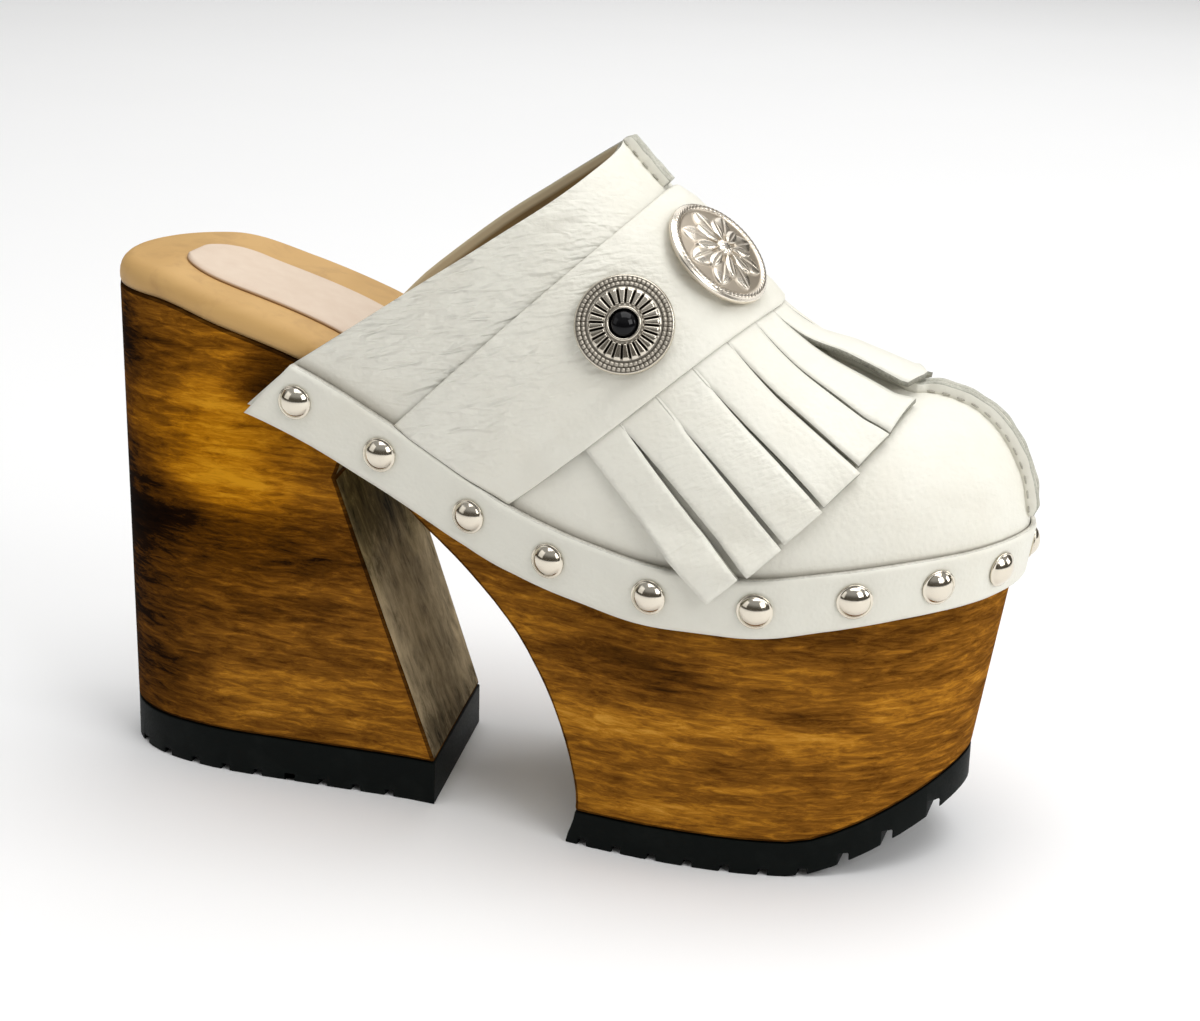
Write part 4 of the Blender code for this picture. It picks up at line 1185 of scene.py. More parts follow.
def build_seam():
    """Two upturned lips of the centre seam, with their stitches."""
    profile_side = np.array([0.12, 0.12, 0.3, 0.7, 0.95, 1.0, 1.07, 1.18])
    profile_high = np.array([-0.3, 0.86, 0.97, 1.0, 0.97, 0.86, 0.3, -0.3])
    points, faces, marks, crease = [], [], [], []
    paths = []
    for start, stop, rows in ((0.001, SEAM_REAR, 40), (SEAM_FRONT, SEAM_TOE, 170)):
        along = np.linspace(start, stop, rows)
        middle = upper(along, 0.5)
        _, over, normal = upper_slopes(along, np.full(rows, 0.5))
        sideways = unit(over)
        close = np.clip((1.0 - along) / 0.03, 0.45, 1) * ease((np.arange(rows) + 1.0) / 4.0)
        covered = fade(along, COVER_REAR, COVER_REAR + 0.02) * fade(along, COVER_FRONT, COVER_FRONT - 0.025)
        close = close * (1 - covered * (1 - 0.8 * ease((along - SEAM_FRONT) / 0.08)))
        for sign in (-1, 1):
            wobble = ripple(np.linspace(0, rows / 7.0, rows), np.full(rows, 3.3), 20 + sign) - 0.5
            high = LIP_HIGH * (1 + 0.22 * wobble) * close
            wide = LIP_WIDE * (1 + 0.16 * wobble) * close + LIP_FLARE * covered * fade(along, 0.46, 0.52)
            grid = middle[:, None] + normal[:, None] * (high[:, None] * profile_high)[..., None]
            grid = grid + sideways[:, None] * (sign * wide[:, None] * profile_side)[..., None]
            base = sum(len(p) for p in points)
            points.append(grid.reshape(-1, 3))
            count = len(profile_side)
            walls = grid_faces(rows, count, base, wrap=True)
            faces += walls.tolist()
            marks += [1 if k % count in (1, 2, 3, 4) else 0 for k in range(len(walls))]
            for row in (0, rows - 1):
                faces.append([base + row * count + k for k in range(count)])
                marks.append(1)
            # Painted shade at the lips' base, where they meet the upper
            crease.append(np.tile(np.where(profile_high < 0.4, 0.7, 0.0), rows))
            line = middle + sideways * (sign * (wide * 1.1 + 0.14))[:, None] + normal * (high * 0.14)[:, None]
            paths.append(line[(along < SEAM_FRONT) | (along > STITCH_FRONT)])
    lips = piece("centre_seam", np.concatenate(points), faces, (LEATHER, SEAM_EDGE), marks,
                 {"crease": np.concatenate(crease)})
    dress(lips, "white_leather")
    stitches = stitch_lines("seam_stitches", paths, THREAD)
    dress(stitches, "white_leather")


def build_strap():
    """Instep strap with its cut edges."""
    across = np.linspace(0.001, 0.999, 240)
    share = np.linspace(0, 1, 64)
    a, c = strap_places(across, share)
    folds = creasing(strap_grid(across, share, STRAP_THICK), STRAP_CREASES)
    sides = ease((np.abs(c - 0.5) - 0.10) / 0.24) * ease((0.9 - share[None, :]) / 0.5)
    fine = crinkle(a, c, 0.05, 8) * sides + crinkle(a, c, 0.03, 15)
    thick = STRAP_THICK + (STRAP_EDGE - STRAP_THICK) * ease((share - 0.62) / 0.3)[None, :]
    thick = thick + (STRAP_BACK_EDGE - STRAP_THICK) * ease((0.16 - share) / 0.16)[None, :]
    rim = ease(np.minimum(share, 1 - share) / 0.03)[None, :]
    soft = -CUT_EDGE * (1 - ease(np.minimum(share, 1 - share) / 0.02))[None, :]
    outer = strap_grid(across, share, thick + (folds + fine) * rim + soft)
    inner = strap_grid(across, share, 0.0)
    # The crease tag paints shade in the strap's folds
    tags = {"crease": fold_shade_tag(folds, fine), "loose": 0.12 + 1.3 * sides}
    flat = hide_flat(a, c, STRAP_HIDE)
    strap = sheet_piece("strap_leather", outer, inner, (LEATHER, RAW_EDGE, RAW_EDGE), tags, flat)
    dress(strap, "white_leather", "concho_strap")


def walk(along, across, direction, length, steps):
    """Straightest path over the upper: its points' shares and its sideways directions."""
    path = []
    for _ in range(steps + 1):
        toward, over, normal = upper_slopes(along, across)
        direction = unit(direction - normal * (direction @ normal))
        sideways = np.cross(normal, direction)
        frame_at = np.column_stack([toward, over])
        path.append((along, across, np.linalg.lstsq(frame_at, sideways, rcond=None)[0]))
        move = np.linalg.lstsq(frame_at, direction * length / steps, rcond=None)[0]
        along, across = along + move[0], across + move[1]
    return path


def strip_roots():
    """Middle of each strip on the strap's front edge, at even distances from the ridge."""
    across = np.linspace(0.02, 0.98, 481)
    edge = upper(strap_front(across), across)
    distance = run_length(edge)
    distance = distance - np.interp(0.5, across, distance)
    order = np.arange(-STRIPS_PER_SIDE, STRIPS_PER_SIDE + 1)
    return order, np.interp(order * STRIP_PITCH, distance, across)


def fringe_cuts(run):
    """Lines of the cuts between the strips, as places on the upper at each distance from the strap."""
    middles, halves = [], []
    numbers, roots = strip_roots()
    for number, across in zip(numbers, roots):
        less, more = across - 0.01, across + 0.01
        edge = upper(strap_front(more), more) - upper(strap_front(less), less)
        normal = upper_slopes(strap_front(across), across)[2]
        forward = unit(np.cross(edge, normal))
        turn = np.radians(np.sign(number) * STRIP_TURNS[abs(number)])
        forward = forward * np.cos(turn) + np.cross(normal, forward) * np.sin(turn)
        start = walk(strap_front(across), across, -forward, ROOT_TUCK, 1)[-1]
        path = walk(start[0], start[1], forward, STRIP_REACH + ROOT_TUCK, len(run) - 1)
        middles.append([place[:2] for place in path])
        halves.append([place[2] * STRIP_PITCH / 2 for place in path])
    middles, halves = np.array(middles), np.array(halves)
    inner = (middles[:-1] + halves[:-1] + middles[1:] - halves[1:]) / 2
    return numbers, np.concatenate([middles[:1] - halves[:1], inner, middles[-1:] + halves[-1:]])


def build_fringe():
    """Fringe: strips cut from one piece, each with its own slight lift and curl."""
    steps, columns = 48, 9
    full_run = np.linspace(-ROOT_TUCK, STRIP_REACH, steps + 1)
    numbers, cuts = fringe_cuts(full_run)
    spread = np.linspace(0, 1, columns)[None, :]
    rng = np.random.default_rng(12)
    made = []
    for k, number in enumerate(numbers):
        run = np.linspace(-ROOT_TUCK, STRIP_LENGTHS[abs(number)], steps + 1)
        edges = [between(run, full_run, cut) for cut in cuts[k:k + 2]]
        wide = np.linalg.norm(upper(*edges[1].T) - upper(*edges[0].T), axis=1)
        trim = []
        for neighbour in (number - 1, number + 1):
            order = max(abs(number), abs(neighbour)) - 1
            gape = 0.0
            if order < STRIPS_PER_SIDE:
                opened = np.clip((run - SLIT_STARTS[order]) / SLIT_OPENING, 0, 1)
                uncut = UNCUT_OVERLAP * ease((SLIT_STARTS[order] - run) / 1.5)
                gape = SLIT_WIDTHS[order] * opened * (1.6 - 0.6 * opened) - uncut
            trim.append(gape / 2 / wide)
        share = trim[0][:, None] + (1 - trim[0] - trim[1])[:, None] * spread
        a = edges[0][:, :1] + (edges[1] - edges[0])[:, :1] * share
        c = edges[0][:, 1:] + (edges[1] - edges[0])[:, 1:] * share
        past_rim = np.clip((0.07 - np.minimum(c, 1 - c)) / 0.05, 0, 1)
        lift = (0.6 if number else 0.2) * np.linspace(0, 1, steps + 1)[:, None] ** 2
        curl = rng.uniform(0.0, 0.45) * (2 * spread - 1) ** 2 * ease((run - 12) / 30)[:, None]
        wave = 0.10 * np.sin(run / 6.0 + rng.uniform(0, 6))[:, None] * ease((run - 5) / 10)[:, None]
        seat = SEAM_LIFT * ease((run - 8.0) / 14.0)[:, None] if number == 0 else 0.0
        off = 1.5 * GAP + lift + wave + curl + seat + past_rim * (BAND_THICK + 1.5 * GAP)
        base, normal = on_upper(a, c, off), upper_slopes(np.clip(a, 0, 0.99), c)[2]
        soft = np.zeros(a.shape)
        soft[:, 0] = STRIP_EDGE * ease(trim[0] * wide / STRIP_EDGE)
        soft[:, -1] = STRIP_EDGE * ease(trim[1] * wide / STRIP_EDGE)
        soft[-1] = STRIP_EDGE
        grown = ease((run + ROOT_TUCK) / 14.0)[:, None]
        thick = STRIP_ROOT_THICK + (STRIP_THICK - STRIP_ROOT_THICK) * grown
        top = base + normal * (thick - soft)[..., None]
        tags = {"crease": 0 * a, "loose": 0.08 + 0.34 * (abs(number) > 3) + 0 * a}
        flat = hide_flat(a, c, FRINGE_HIDE)
        made.append(sheet_piece("strip_%d" % k, top, base, (LEATHER, RAW_EDGE, RAW_EDGE), tags, flat))
    fringe = join("fringe_leather", made)
    dress(fringe, "white_leather", "fringe")


def join(name, pieces):
    """One object from several of like materials."""
    work = bmesh.new()
    for made in pieces:
        work.from_mesh(made.data)
    mesh = bpy.data.meshes.new(name)
    work.to_mesh(mesh)
    work.free()
    for look in pieces[0].data.materials:
        mesh.materials.append(look)
    for made in pieces:
        old = made.data
        bpy.data.objects.remove(made)
        bpy.data.meshes.remove(old)
    mesh.shade_smooth()
    return stand(name, mesh)


def band_back(distance):
    """How far the band's back stands off the wood."""
    return 2 * GAP + WALL * snug(distance)


def band_face(distance):
    return band_back(distance) + BAND_THICK * (0.35 + 0.65 * snug(distance))


def nail_seats():
    """Place and outward direction of each stud on the band's face."""
    seats = []
    for side, label in ((LATERAL, "lateral"), (MEDIAL, "medial")):
        for nail in NAILS:
            back = np.array(getattr(nail, label))
            face = band_face(back)
            drop = side.band_drop(back) / 2
            ahead = side.wall(back + 1.0, drop, face) - side.wall(back - 1.0, drop, face)
            down = side.wall(back, drop + 2.0, face) - side.wall(back, drop - 2.0, face)
            direction = np.cross(ahead, down)
            direction = direction * np.sign(direction @ side.pick(side.out, back))
            seats.append((side.wall(back, drop, face), unit(direction)))
    return seats


def build_band():
    """Welt band, drawn in a little round each nail."""
    shares = np.linspace(1, 0, 15)
    outer, inner = [], []
    for side, order in ((LATERAL, -1), (MEDIAL, 1)):
        distance = np.linspace(0, side.length, 190)[::order]
        distance = (distance if order < 0 else distance[1:])[:, None]
        back = distance + side.shear(distance) * shares
        drop = side.band_drop(distance) * shares
        wavy = ripple(distance / 17.0, shares[None, :] * 0 + 2.5, 31 + order) - 0.5
        drop = drop + 0.5 * wavy * ease((shares[None, :] - 0.6) / 0.4)
        outer.append(side.wall(back, drop, band_face(distance) + 0 * back))
        inner.append(side.wall(back, drop, band_back(distance) + 0 * back))
    outer, inner = np.concatenate(outer), np.concatenate(inner)
    push = unit(inner - outer)
    dent = np.zeros(outer.shape[:2])
    for place, _ in nail_seats():
        away = np.linalg.norm(outer - place, axis=-1)
        dent += 0.34 * np.exp(-(away / 5.2) ** 2) - 0.10 * np.exp(-((away - 8.0) / 2.5) ** 2)
    rim = np.zeros(outer.shape[:2])
    rim[:, (0, -1)] = CUT_EDGE
    rim[(0, -1), :] = CUT_EDGE
    outer = outer + push * (dent + rim)[..., None]
    # The crease tag paints shade in the dents round the nails
    band = sheet_piece("band_leather", outer, inner, (BAND_LEATHER, RAW_EDGE, PALE_EDGE),
                       {"crease": np.clip(dent - 0.2, 0, 1)})
    dress(band, "white_leather", "welt_band")


def stud_head():
    """Dome of a nail with a thin flange, about its own Z."""
    radius = np.array([0.0, 0.9, 1.8, 2.6, 3.2, 3.6, 3.75, 3.95, 4.15, STUD_RADIUS, STUD_RADIUS - 0.1])
    height = np.array([2.4, 2.32, 2.05, 1.62, 1.12, 0.62, 0.42, 0.40, 0.34, 0.18, -0.25])
    turns = 40
    faces = grid_faces(len(radius), turns, wrap=True).tolist()
    last = (len(radius) - 1) * turns
    faces.append([last + k for k in range(turns)])
    return small_shape("stud_head", turned(radius, height, turns), faces)


def scatter_tree(name, pattern, look, headed):
    """Geometry nodes that stand a pattern on every point, turned to its facing, then realized."""
    tree = bpy.data.node_groups.new(name, "GeometryNodeTree")
    tree.interface.new_socket("Geometry", in_out="INPUT", socket_type="NodeSocketGeometry")
    size = tree.interface.new_socket("Size", in_out="INPUT", socket_type="NodeSocketFloat")
    size.default_value = 1.0
    tree.interface.new_socket("Geometry", in_out="OUTPUT", socket_type="NodeSocketGeometry")
    given = tree.nodes.new("NodeGroupInput").outputs
    result = tree.nodes.new("NodeGroupOutput").inputs
    facing = add(tree, "GeometryNodeInputNamedAttribute", {"Name": "facing"}, data_type="FLOAT_VECTOR")
    raised = add(tree, "FunctionNodeAlignRotationToVector", {"Vector": facing.outputs["Attribute"]}, axis="Z")
    rotation = raised.outputs["Rotation"]
    if headed:
        heading = add(tree, "GeometryNodeInputNamedAttribute", {"Name": "heading"}, data_type="FLOAT_VECTOR")
        second = add(tree, "FunctionNodeAlignRotationToVector",
                     {"Rotation": rotation, "Vector": heading.outputs["Attribute"]}, axis="X", pivot_axis="Z")
        rotation = second.outputs["Rotation"]
    shape = add(tree, "GeometryNodeObjectInfo", {"Object": pattern})
    repeats = add(tree, "GeometryNodeInstanceOnPoints", {
        "Points": given["Geometry"], "Instance": shape.outputs["Geometry"],
        "Rotation": rotation, "Scale": given["Size"]})
    real = add(tree, "GeometryNodeRealizeInstances", {"Geometry": repeats.outputs["Instances"]})
    finish = add(tree, "GeometryNodeSetMaterial", {"Geometry": real.outputs["Geometry"], "Material": look})
    tree.links.new(finish.outputs["Geometry"], result["Geometry"])
    return tree, size.identifier


def scatter(name, pattern, look, places, facing, heading=None, size=1.0):
    """Plain mesh of a pattern repeated at places given in the shoe's millimetres."""
    mesh = bpy.data.meshes.new(name)
    mesh.from_pydata(row_frame(places).tolist(), [], [])
    for tag, values in (("facing", facing), ("heading", heading)):
        if values is not None:
            layer = mesh.attributes.new(tag, "FLOAT_VECTOR", "POINT")
            layer.data.foreach_set("vector", np.asarray(values, np.float32).ravel())
    made = stand(name, mesh)
    tree, size_input = scatter_tree(name + "_pattern", pattern, look, heading is not None)
    step = made.modifiers.new("pattern", "NODES")
    step.node_group = tree
    step[size_input] = size
    apply_modifiers(made)
    made.data.shade_smooth()
    bpy.data.objects.remove(pattern)
    return made


def build_studs():
    seats = nail_seats()
    places = np.array([p + d * GAP * 0.5 for p, d in seats])
    studs = scatter("studs", stud_head(), NICKEL, places, np.array([d for _, d in seats]))
    names = ["stud_%s_%d" % (side, k + 1) for side in ("lateral", "medial") for k in range(len(NAILS))]
    dress(studs, "nickel", *names)


def stitch_lines(name, paths, look):
    """Short stitches laid end to end along the paths."""
    places, facing, heading = [], [], []
    for path in paths:
        gone = run_length(path)
        stops = np.arange(STITCH_PITCH * 0.6, gone[-1] - STITCH_PITCH * 0.5, STITCH_PITCH)
        here = between(stops, gone, path)
        run = unit(between(stops + 0.5, gone, path) - here)
        places.append(here)
        facing.append(np.cross([0.0, 1.0, 0.0], run))
        heading.append(run)
    turns = 8
    reach = np.array([-0.5, -0.47, -0.36, 0.0, 0.36, 0.47, 0.5]) * STITCH_LONG
    girth = np.array([0.0, 0.55, 0.95, 1.0, 0.95, 0.55, 0.0]) * STITCH_THICK / 2
    rings = np.roll(turned(girth, reach, turns), 1, axis=1)
    thread = small_shape(name + "_thread", rings, grid_faces(len(reach), turns, wrap=True), merge=1e-7)
    places, facing, heading = (np.concatenate(rows) for rows in (places, facing, heading))
    return scatter(name, thread, look, places, facing, heading)


def ridged(angle, count):
    """Place within one of count equal sectors, from -1 to 1."""
    return 2 * np.mod(angle * count / (2 * math.pi), 1.0) - 1


def sunburst(radius, angle):
    """Side concho: bezel, rays with dark slots, two rows of beads and a plain rim."""
    base = np.interp(radius, (0, 4.2, 4.8, 8.6, 11.1, 11.5), (1.7, 2.5, 2.5, 1.9, 1.5, 1.1))
    bezel = 0.85 * np.exp(-((radius - 3.65) / 0.42) ** 4)
    cup = -1.0 * (1 - ease((radius - 2.9) / 0.5))
    ray = np.abs(ridged(angle, 24))
    inside = ease((radius - 4.4) / 0.5) * ease((8.4 - radius) / 0.6)
    narrow = 0.52 + 0.16 * np.clip((radius - 4.6) / 3.4, 0, 1)
    slot = np.clip((ray - narrow) / 0.3, 0, 1)
    rays = inside * (0.40 * np.sqrt(np.clip(1 - ray ** 2, 0, 1)) - 0.50 * slot)
    beads = 0.0
    dark = inside * ease((ray - narrow + 0.08) / 0.25)
    for row, count in ((9.35, 54), (10.45, 60)):
        across_row = np.clip(1 - ((radius - row) / 0.52) ** 2, 0, 1)
        around = np.clip(1 - ridged(angle, count) ** 2, 0, 1)
        beads = beads + 0.42 * np.sqrt(across_row * around) * across_row
        dark = dark + (1 - np.sqrt(across_row * around)) * (np.abs(radius - row) < 0.6) * 0.85
    rim = 0.22 * np.exp(-((radius - 11.2) / 0.22) ** 2)
    dark = dark + 0.6 * np.exp(-((radius - 8.6) / 0.2) ** 2) + 0.7 * np.exp(-((radius - 4.25) / 0.2) ** 2)
    dark = dark + 0.22 * ease((radius - 8.6) / 0.2) * ease((11.0 - radius) / 0.2)
    return base + bezel + cup + rays + beads + rim, np.clip(dark, 0, 1)


def rosette(radius, angle):
    """Front medallion: an eight-petal flower in a ring of leaves, with a roped rim."""
    base = np.interp(radius, (0, 4, 8, 11.6, 12.1, 13.2, 14.0), (2.7, 2.6, 2.15, 1.5, 1.7, 1.75, 1.1))
    dark = np.zeros_like(radius)
    height = np.zeros_like(radius)
    for ring in ROSETTE:
        run = np.clip((radius - ring.inner) / (ring.outer - ring.inner), 0, 1)
        sector = ridged(angle + ring.phase * 2 * math.pi / ring.count, ring.count)
        half = ring.fat * np.sin(math.pi * run ** 0.75) ** 0.7
        inside = np.clip(1 - np.abs(sector) / np.maximum(half, 1e-3), 0, 1)
        within = (radius > ring.inner) & (radius < ring.outer)
        body = ring.high * np.sqrt(np.clip(inside * (2 - inside), 0, 1)) * within
        rib = 0.16 * np.exp(-(sector * radius * 0.4 / 0.35) ** 2) * (body > 0.2)
        edge = np.exp(-((inside - 0.06) / 0.09) ** 2) * within
        height = np.maximum(height, body - rib)
        dark = np.maximum(dark * (body <= 0.05), 0.75 * edge + 0.5 * (rib > 0.08))
    button = 1.25 * np.sqrt(np.clip(1 - (radius / 2.3) ** 2, 0, 1))
    dots = 0.14 * np.cos(angle * 9) * np.exp(-((radius - 1.55) / 0.4) ** 2)
    rope_turn = ridged(angle + radius * 0.10, 64)
    rope = 0.30 * np.sqrt(np.clip(1 - ((radius - 12.65) / 0.62) ** 2, 0, 1))
    rope = rope * (0.55 + 0.45 * (1 - rope_turn ** 2))
    dark = np.maximum(dark, 0.8 * np.exp(-((radius - 11.75) / 0.25) ** 2))
    dark = np.maximum(dark, 0.7 * (np.abs(rope_turn) > 0.72) * (np.abs(radius - 12.65) < 0.62))
    dark = np.maximum(dark, 0.8 * np.exp(-((radius - 2.35) / 0.16) ** 2))
    ground = (height < 0.04) & (radius < 11.6) & (radius > 2.3)
    dark = np.maximum(dark, 0.7 * ground)
    return base + np.maximum(height, button + dots * (radius < 2.2)) + rope, np.clip(dark, 0, 1)


def disc_seat(place, wide):
    """Where a concho lies on the strap: on its highest point under the disc."""
    face = strap_grid(np.linspace(0.01, 0.99, 197), np.linspace(0, 1, 41), STRAP_THICK).reshape(-1, 3)
    normal = upper_slopes(place.along, place.across)[2]
    reach = face - upper(place.along, place.across)
    rise = reach @ normal
    under = np.linalg.norm(reach - rise[:, None] * normal, axis=1) < wide / 2 + 0.5
    lifted = rise[under & (rise > 0)]
    point = upper(place.along, place.across) + normal * (0.55 * lifted.max() + 0.45 * lifted.mean() + GAP)
    turn = Vector(normal).to_track_quat("Z", "Y").to_matrix()
    return point, np.array(turn)


def build_disc(name, relief, wide, place, turns, rings, look, slot, node):
    """Relief disc with a rounded rim and a flat back, seated on the strap."""
    radius = np.concatenate([np.linspace(0, wide / 2, rings), [wide / 2 + 0.02, wide / 2 - 0.25, 0.0]])
    angle = np.linspace(0, 2 * math.pi, turns, endpoint=False)
    r, t = np.meshgrid(radius, angle, indexing="ij")
    high, dark = relief(r, t)
    high[-3], high[-2], high[-1] = 0.5, 0.0, 0.0
    dark[-3:] = 0.4
    local = np.stack([r * np.cos(t), r * np.sin(t), high], -1).reshape(-1, 3)
    point, turn = disc_seat(place, wide)
    made = piece(name, local @ turn.T + point, grid_faces(len(radius), turns, wrap=True), (look,), None,
                 {"recess": dark})
    dress(made, slot, node)


def build_conchos():
    for place in CONCHOS:
        node = "concho_" + place.name
        if place.name == "front":
            build_disc("medallion", rosette, FRONT_CONCHO, place, 384, 84, MEDALLION, "silver", node)
            continue
        build_disc("sunburst_" + place.name, sunburst, SIDE_CONCHO, place, 480, 66, SILVER, "silver", node)
        radius = STONE / 2 * np.sin(np.linspace(0, 1, 18) * math.pi / 2)
        height = 2.1 + 2.2 * np.sqrt(np.clip(1 - (radius / (STONE / 2)) ** 2, 0, 1))
        radius = np.concatenate([radius, [STONE / 2, 0.0]])
        height = np.concatenate([height, [1.9, 1.9]])
        turns = 48
        faces = grid_faces(len(radius), turns, wrap=True)
        point, turn = disc_seat(place, SIDE_CONCHO)
        rings = turned(radius, height, turns) @ turn.T + point
        stone = piece("cabochon_" + place.name, rings, faces, (STONE_LOOK,))
        dress(stone, "black_stone", "stone_" + place.name)


def solid_copy(name, node, looks, edge, edge_look=-1, cut_look=None, square_at=None):
    """Copy of a solid with its flat faces whole and its edges rounded.

    square_at is a station where its rear end is cut square.
    """
    work = bmesh.new()
    work.from_mesh(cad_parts[node].data)
    bmesh.ops.remove_doubles(work, verts=work.verts, dist=2e-6)
    bmesh.ops.dissolve_limit(work, angle_limit=math.radians(0.6), verts=work.verts, edges=work.edges)
    mesh = bpy.data.meshes.new(name)
    work.to_mesh(mesh)
    work.free()
    mesh.materials.clear()
    for look in looks:
        mesh.materials.append(look)
    if square_at is not None:
        for corner in mesh.vertices:
            corner.co.x = max(corner.co.x, (square_at + HOME[0]) * MM)
    for face in mesh.polygons:
        station = face.center.x / MM - HOME[0]
        inward = abs(face.normal.y) < 0.4 and face.normal.z < 0.6 and ARCH_REAR < station < ARCH_FRONT
        cut = cut_look is not None and inward and face.center.z < ARCH_HIGH * MM
        face.material_index = cut_look if cut else 0
    made = stand(name, mesh)
    finish_edges(made, edge, edge_look)
    return made


def build_sole():
    """Wooden sole and its two rubber pieces."""
    wood = solid_copy("sole", "sole_wood", (WOOD, CUT_WOOD, WOOD_EDGE), 0.8, 2, 1)
    dress(wood, "wood", "sole_wood")
    for end, square_at in (("heel", None), ("forefoot", TREAD_SQUARE)):
        rubber = solid_copy("tread_" + end, "outsole_" + end, (RUBBER,), 0.35, square_at=square_at)
        dress(rubber, "rubber", "outsole_" + end)


def build_footbed():
    """Board with a rounded edge, and the pad on its heel seat."""
    top = rim_loop(14)
    out = loop_normals(top)
    count = len(top)
    rings = []
    for edge in FOOTBED_EDGE:
        inside = INSIDE_UPPER * np.clip((top[:, 0] - COLLAR_STATION - 4.0) / 14.0, 0, 1)
        ring = top - out * (edge.inset + inside)[:, None]
        rings.append(np.column_stack([ring, smooth(WOOD_TOP, ring[:, 0]) + edge.height]))
    faces = grid_faces(len(rings), count, wrap=True).tolist()
    for base in (0, (len(rings) - 1) * count):
        for i in range(count // 2):
            loop = dict.fromkeys((i, i + 1, (count - i - 1) % count, (count - i) % count))
            faces.append([base + k for k in loop])
    stain = np.repeat([np.clip(1 - e.height / 1.4, 0, 1) for e in FOOTBED_EDGE], count)
    board = piece("footbed_board", np.concatenate(rings), faces, (BOARD,), None, {"stain": stain})
    dress(board, "pale_wood", "footbed")

    half = LABEL_WIDE / 2
    turns = np.linspace(0, math.pi / 2, 20)
    straight = np.linspace(LABEL_REAR + half, LABEL_FRONT, 60)[1:]
    station = np.concatenate([LABEL_REAR + half * (1 - np.cos(turns)), straight])
    reach = np.concatenate([half * np.sin(turns), np.full(len(straight), half)])
    reach[0] = 0.6
    across = np.linspace(-1, 1, 41)
    sides = LABEL_MID + reach[:, None] * across
    floor = (smooth(WOOD_TOP, station) + FOOTBED_THICK + GAP * 0.3)[:, None] + 0 * sides
    along = station[:, None] + 0 * sides
    under = np.stack([along, sides, floor], -1)
    edge = np.minimum(reach[:, None] * (1 - np.abs(across)), (along - LABEL_REAR) + 0 * sides)
    edge = np.minimum(edge, LABEL_FRONT - along)
    thick = LABEL_THICK * (0.35 + 0.65 * ease(edge / 1.6)) + 0.12 * ease((edge - 2) / 6)
    pad = sheet_piece("heel_pad", under + np.stack([0 * thick, 0 * thick, thick], -1), under,
                      (PAD, PAD, PAD), {"crease": 1 - ease(edge / 0.9)})
    dress(pad, "pale_leather", "heel_label")


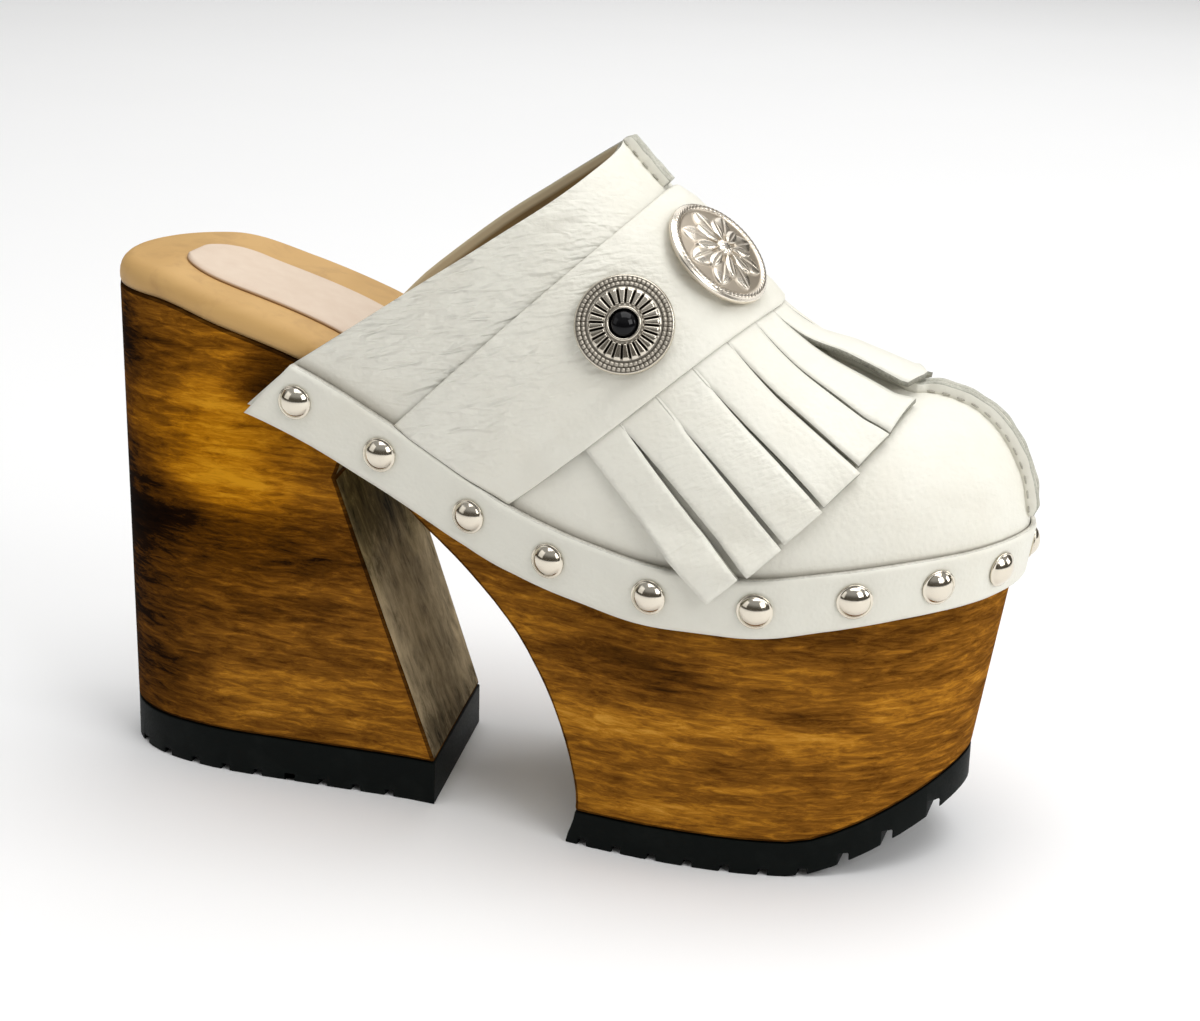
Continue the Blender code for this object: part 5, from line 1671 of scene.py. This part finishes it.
def build_stage():
    """Pale floor, soft lights and the camera."""
    mesh = bpy.data.meshes.new("floor")
    corners = [(x * FLOOR_REACH, y * FLOOR_REACH, 0.0) for x, y in ((-1, -1), (1, -1), (1, 1), (-1, 1))]
    mesh.from_pydata(corners, [], [(0, 1, 2, 3)])
    mesh.materials.append(veiled_look("pale_floor", FLOOR_TINTS, 6.0, 0.5, roughness=0.75))
    floor = stand("floor", mesh)

    for lamp in LAMPS:
        light = bpy.data.lights.new(lamp.name, "AREA")
        light.size = lamp.wide
        light.energy = lamp.power
        thing = stand(lamp.name, light)
        thing.location = lamp.place
        aim = Vector(lamp.aim) - Vector(lamp.place)
        thing.rotation_euler = aim.to_track_quat("-Z", "Y").to_euler()

    world = bpy.data.worlds.new("studio")
    world.use_nodes = True
    tree = world.node_tree
    upward = add(tree, "ShaderNodeTexCoord").outputs["Generated"]
    height = add(tree, "ShaderNodeSeparateXYZ", {"Vector": upward}).outputs["Z"]
    back = tree.nodes["Background"]
    tree.links.new(ramp(tree, height, SKY), back.inputs["Color"])
    back.inputs["Strength"].default_value = SKY_STRENGTH
    bpy.context.scene.world = world

    a, e, r = (math.radians(v) for v in (CAMERA_AZIMUTH, CAMERA_ELEVATION, CAMERA_ROLL))
    back_axis = np.array([math.sin(a) * math.cos(e), -math.cos(a) * math.cos(e), math.sin(e)])
    right = np.array([math.cos(a), math.sin(a), 0.0])
    up = np.cross(back_axis, right)
    right, up = right * math.cos(r) + up * math.sin(r), up * math.cos(r) - right * math.sin(r)
    off_x = (SHOE_CENTRE[0] - PHOTO_CENTRE[0]) / PHOTO_FOCUS
    off_y = (PHOTO_CENTRE[1] - SHOE_CENTRE[1]) / PHOTO_FOCUS
    look = unit(-back_axis + right * off_x + up * off_y)
    new_right = unit(np.cross(look, up))
    new_up = np.cross(new_right, look)
    eye = row_frame(np.array(CAMERA_EYE))
    lens = bpy.data.cameras.new("camera")
    lens.sensor_width = SENSOR
    lens.lens = SENSOR * PHOTO_FOCUS * CLOSER / PHOTO_WIDE
    camera = stand("camera", lens)
    axes = np.column_stack([new_right, new_up, -look])
    place = Matrix(axes.tolist()).to_4x4()
    place.translation = Vector(eye)
    camera.matrix_world = place
    bpy.context.scene.camera = camera
    bpy.context.scene.view_settings.view_transform = "Standard"


HOME = shoe_home()
GRAIN = make_grain_group()
LOOSE = make_loose_group()
SMUDGE = make_smudge_group()
FIGURE = make_figure_group()
LEATHER = white_leather_look("white_leather", HIDE)
BAND_LEATHER = white_leather_look("band_leather", BAND_HIDE, cells=1100.0, grain_high=0.154)
RAW_EDGE = raw_edge_look("raw_edge", *CUT_EDGE_TINTS)
SEAM_EDGE = raw_edge_look("seam_edge", *SEAM_EDGE_TINTS)
PALE_EDGE = raw_edge_look("pale_edge", *PALE_EDGE_TINTS)
TAN_LINING = lining_look()
THREAD = raw_edge_look("thread", *THREAD_TINTS)
WOOD = wood_look("stained_wood", WOOD_COLOURS, SIDE_STAINS_AND_SHADOW, 0.36)
CUT_WOOD = wood_look("end_grain", CUT_COLOURS, CUT_STAINS_AND_SHADOW, 0.5, run=(2.0, 2.0, 0.12))
WOOD_EDGE = wood_look("wood_edge", EDGE_COLOURS, SIDE_STAINS_AND_SHADOW, 0.36)
BOARD = pale_board_look()
PAD = label_look()
RUBBER = rubber_look()
NICKEL = metal_look("nickel", NICKEL_TINTS, polish=0.12, tarnish=0.8)
SILVER = metal_look("antique_silver", SILVER_TINTS, polish=0.22, tarnish=1.0)
MEDALLION = metal_look("worn_silver", WORN_SILVER_TINTS, polish=0.24, tarnish=0.85)
STONE_LOOK = veiled_look("black_cabochon", STONE_TINTS, 700.0, 0.6, roughness=0.05, specular_ior_level=0.22)

build_sole()
build_footbed()
build_upper()
build_seam()
build_band()
build_studs()
build_strap()
build_fringe()
build_conchos()
build_stage()
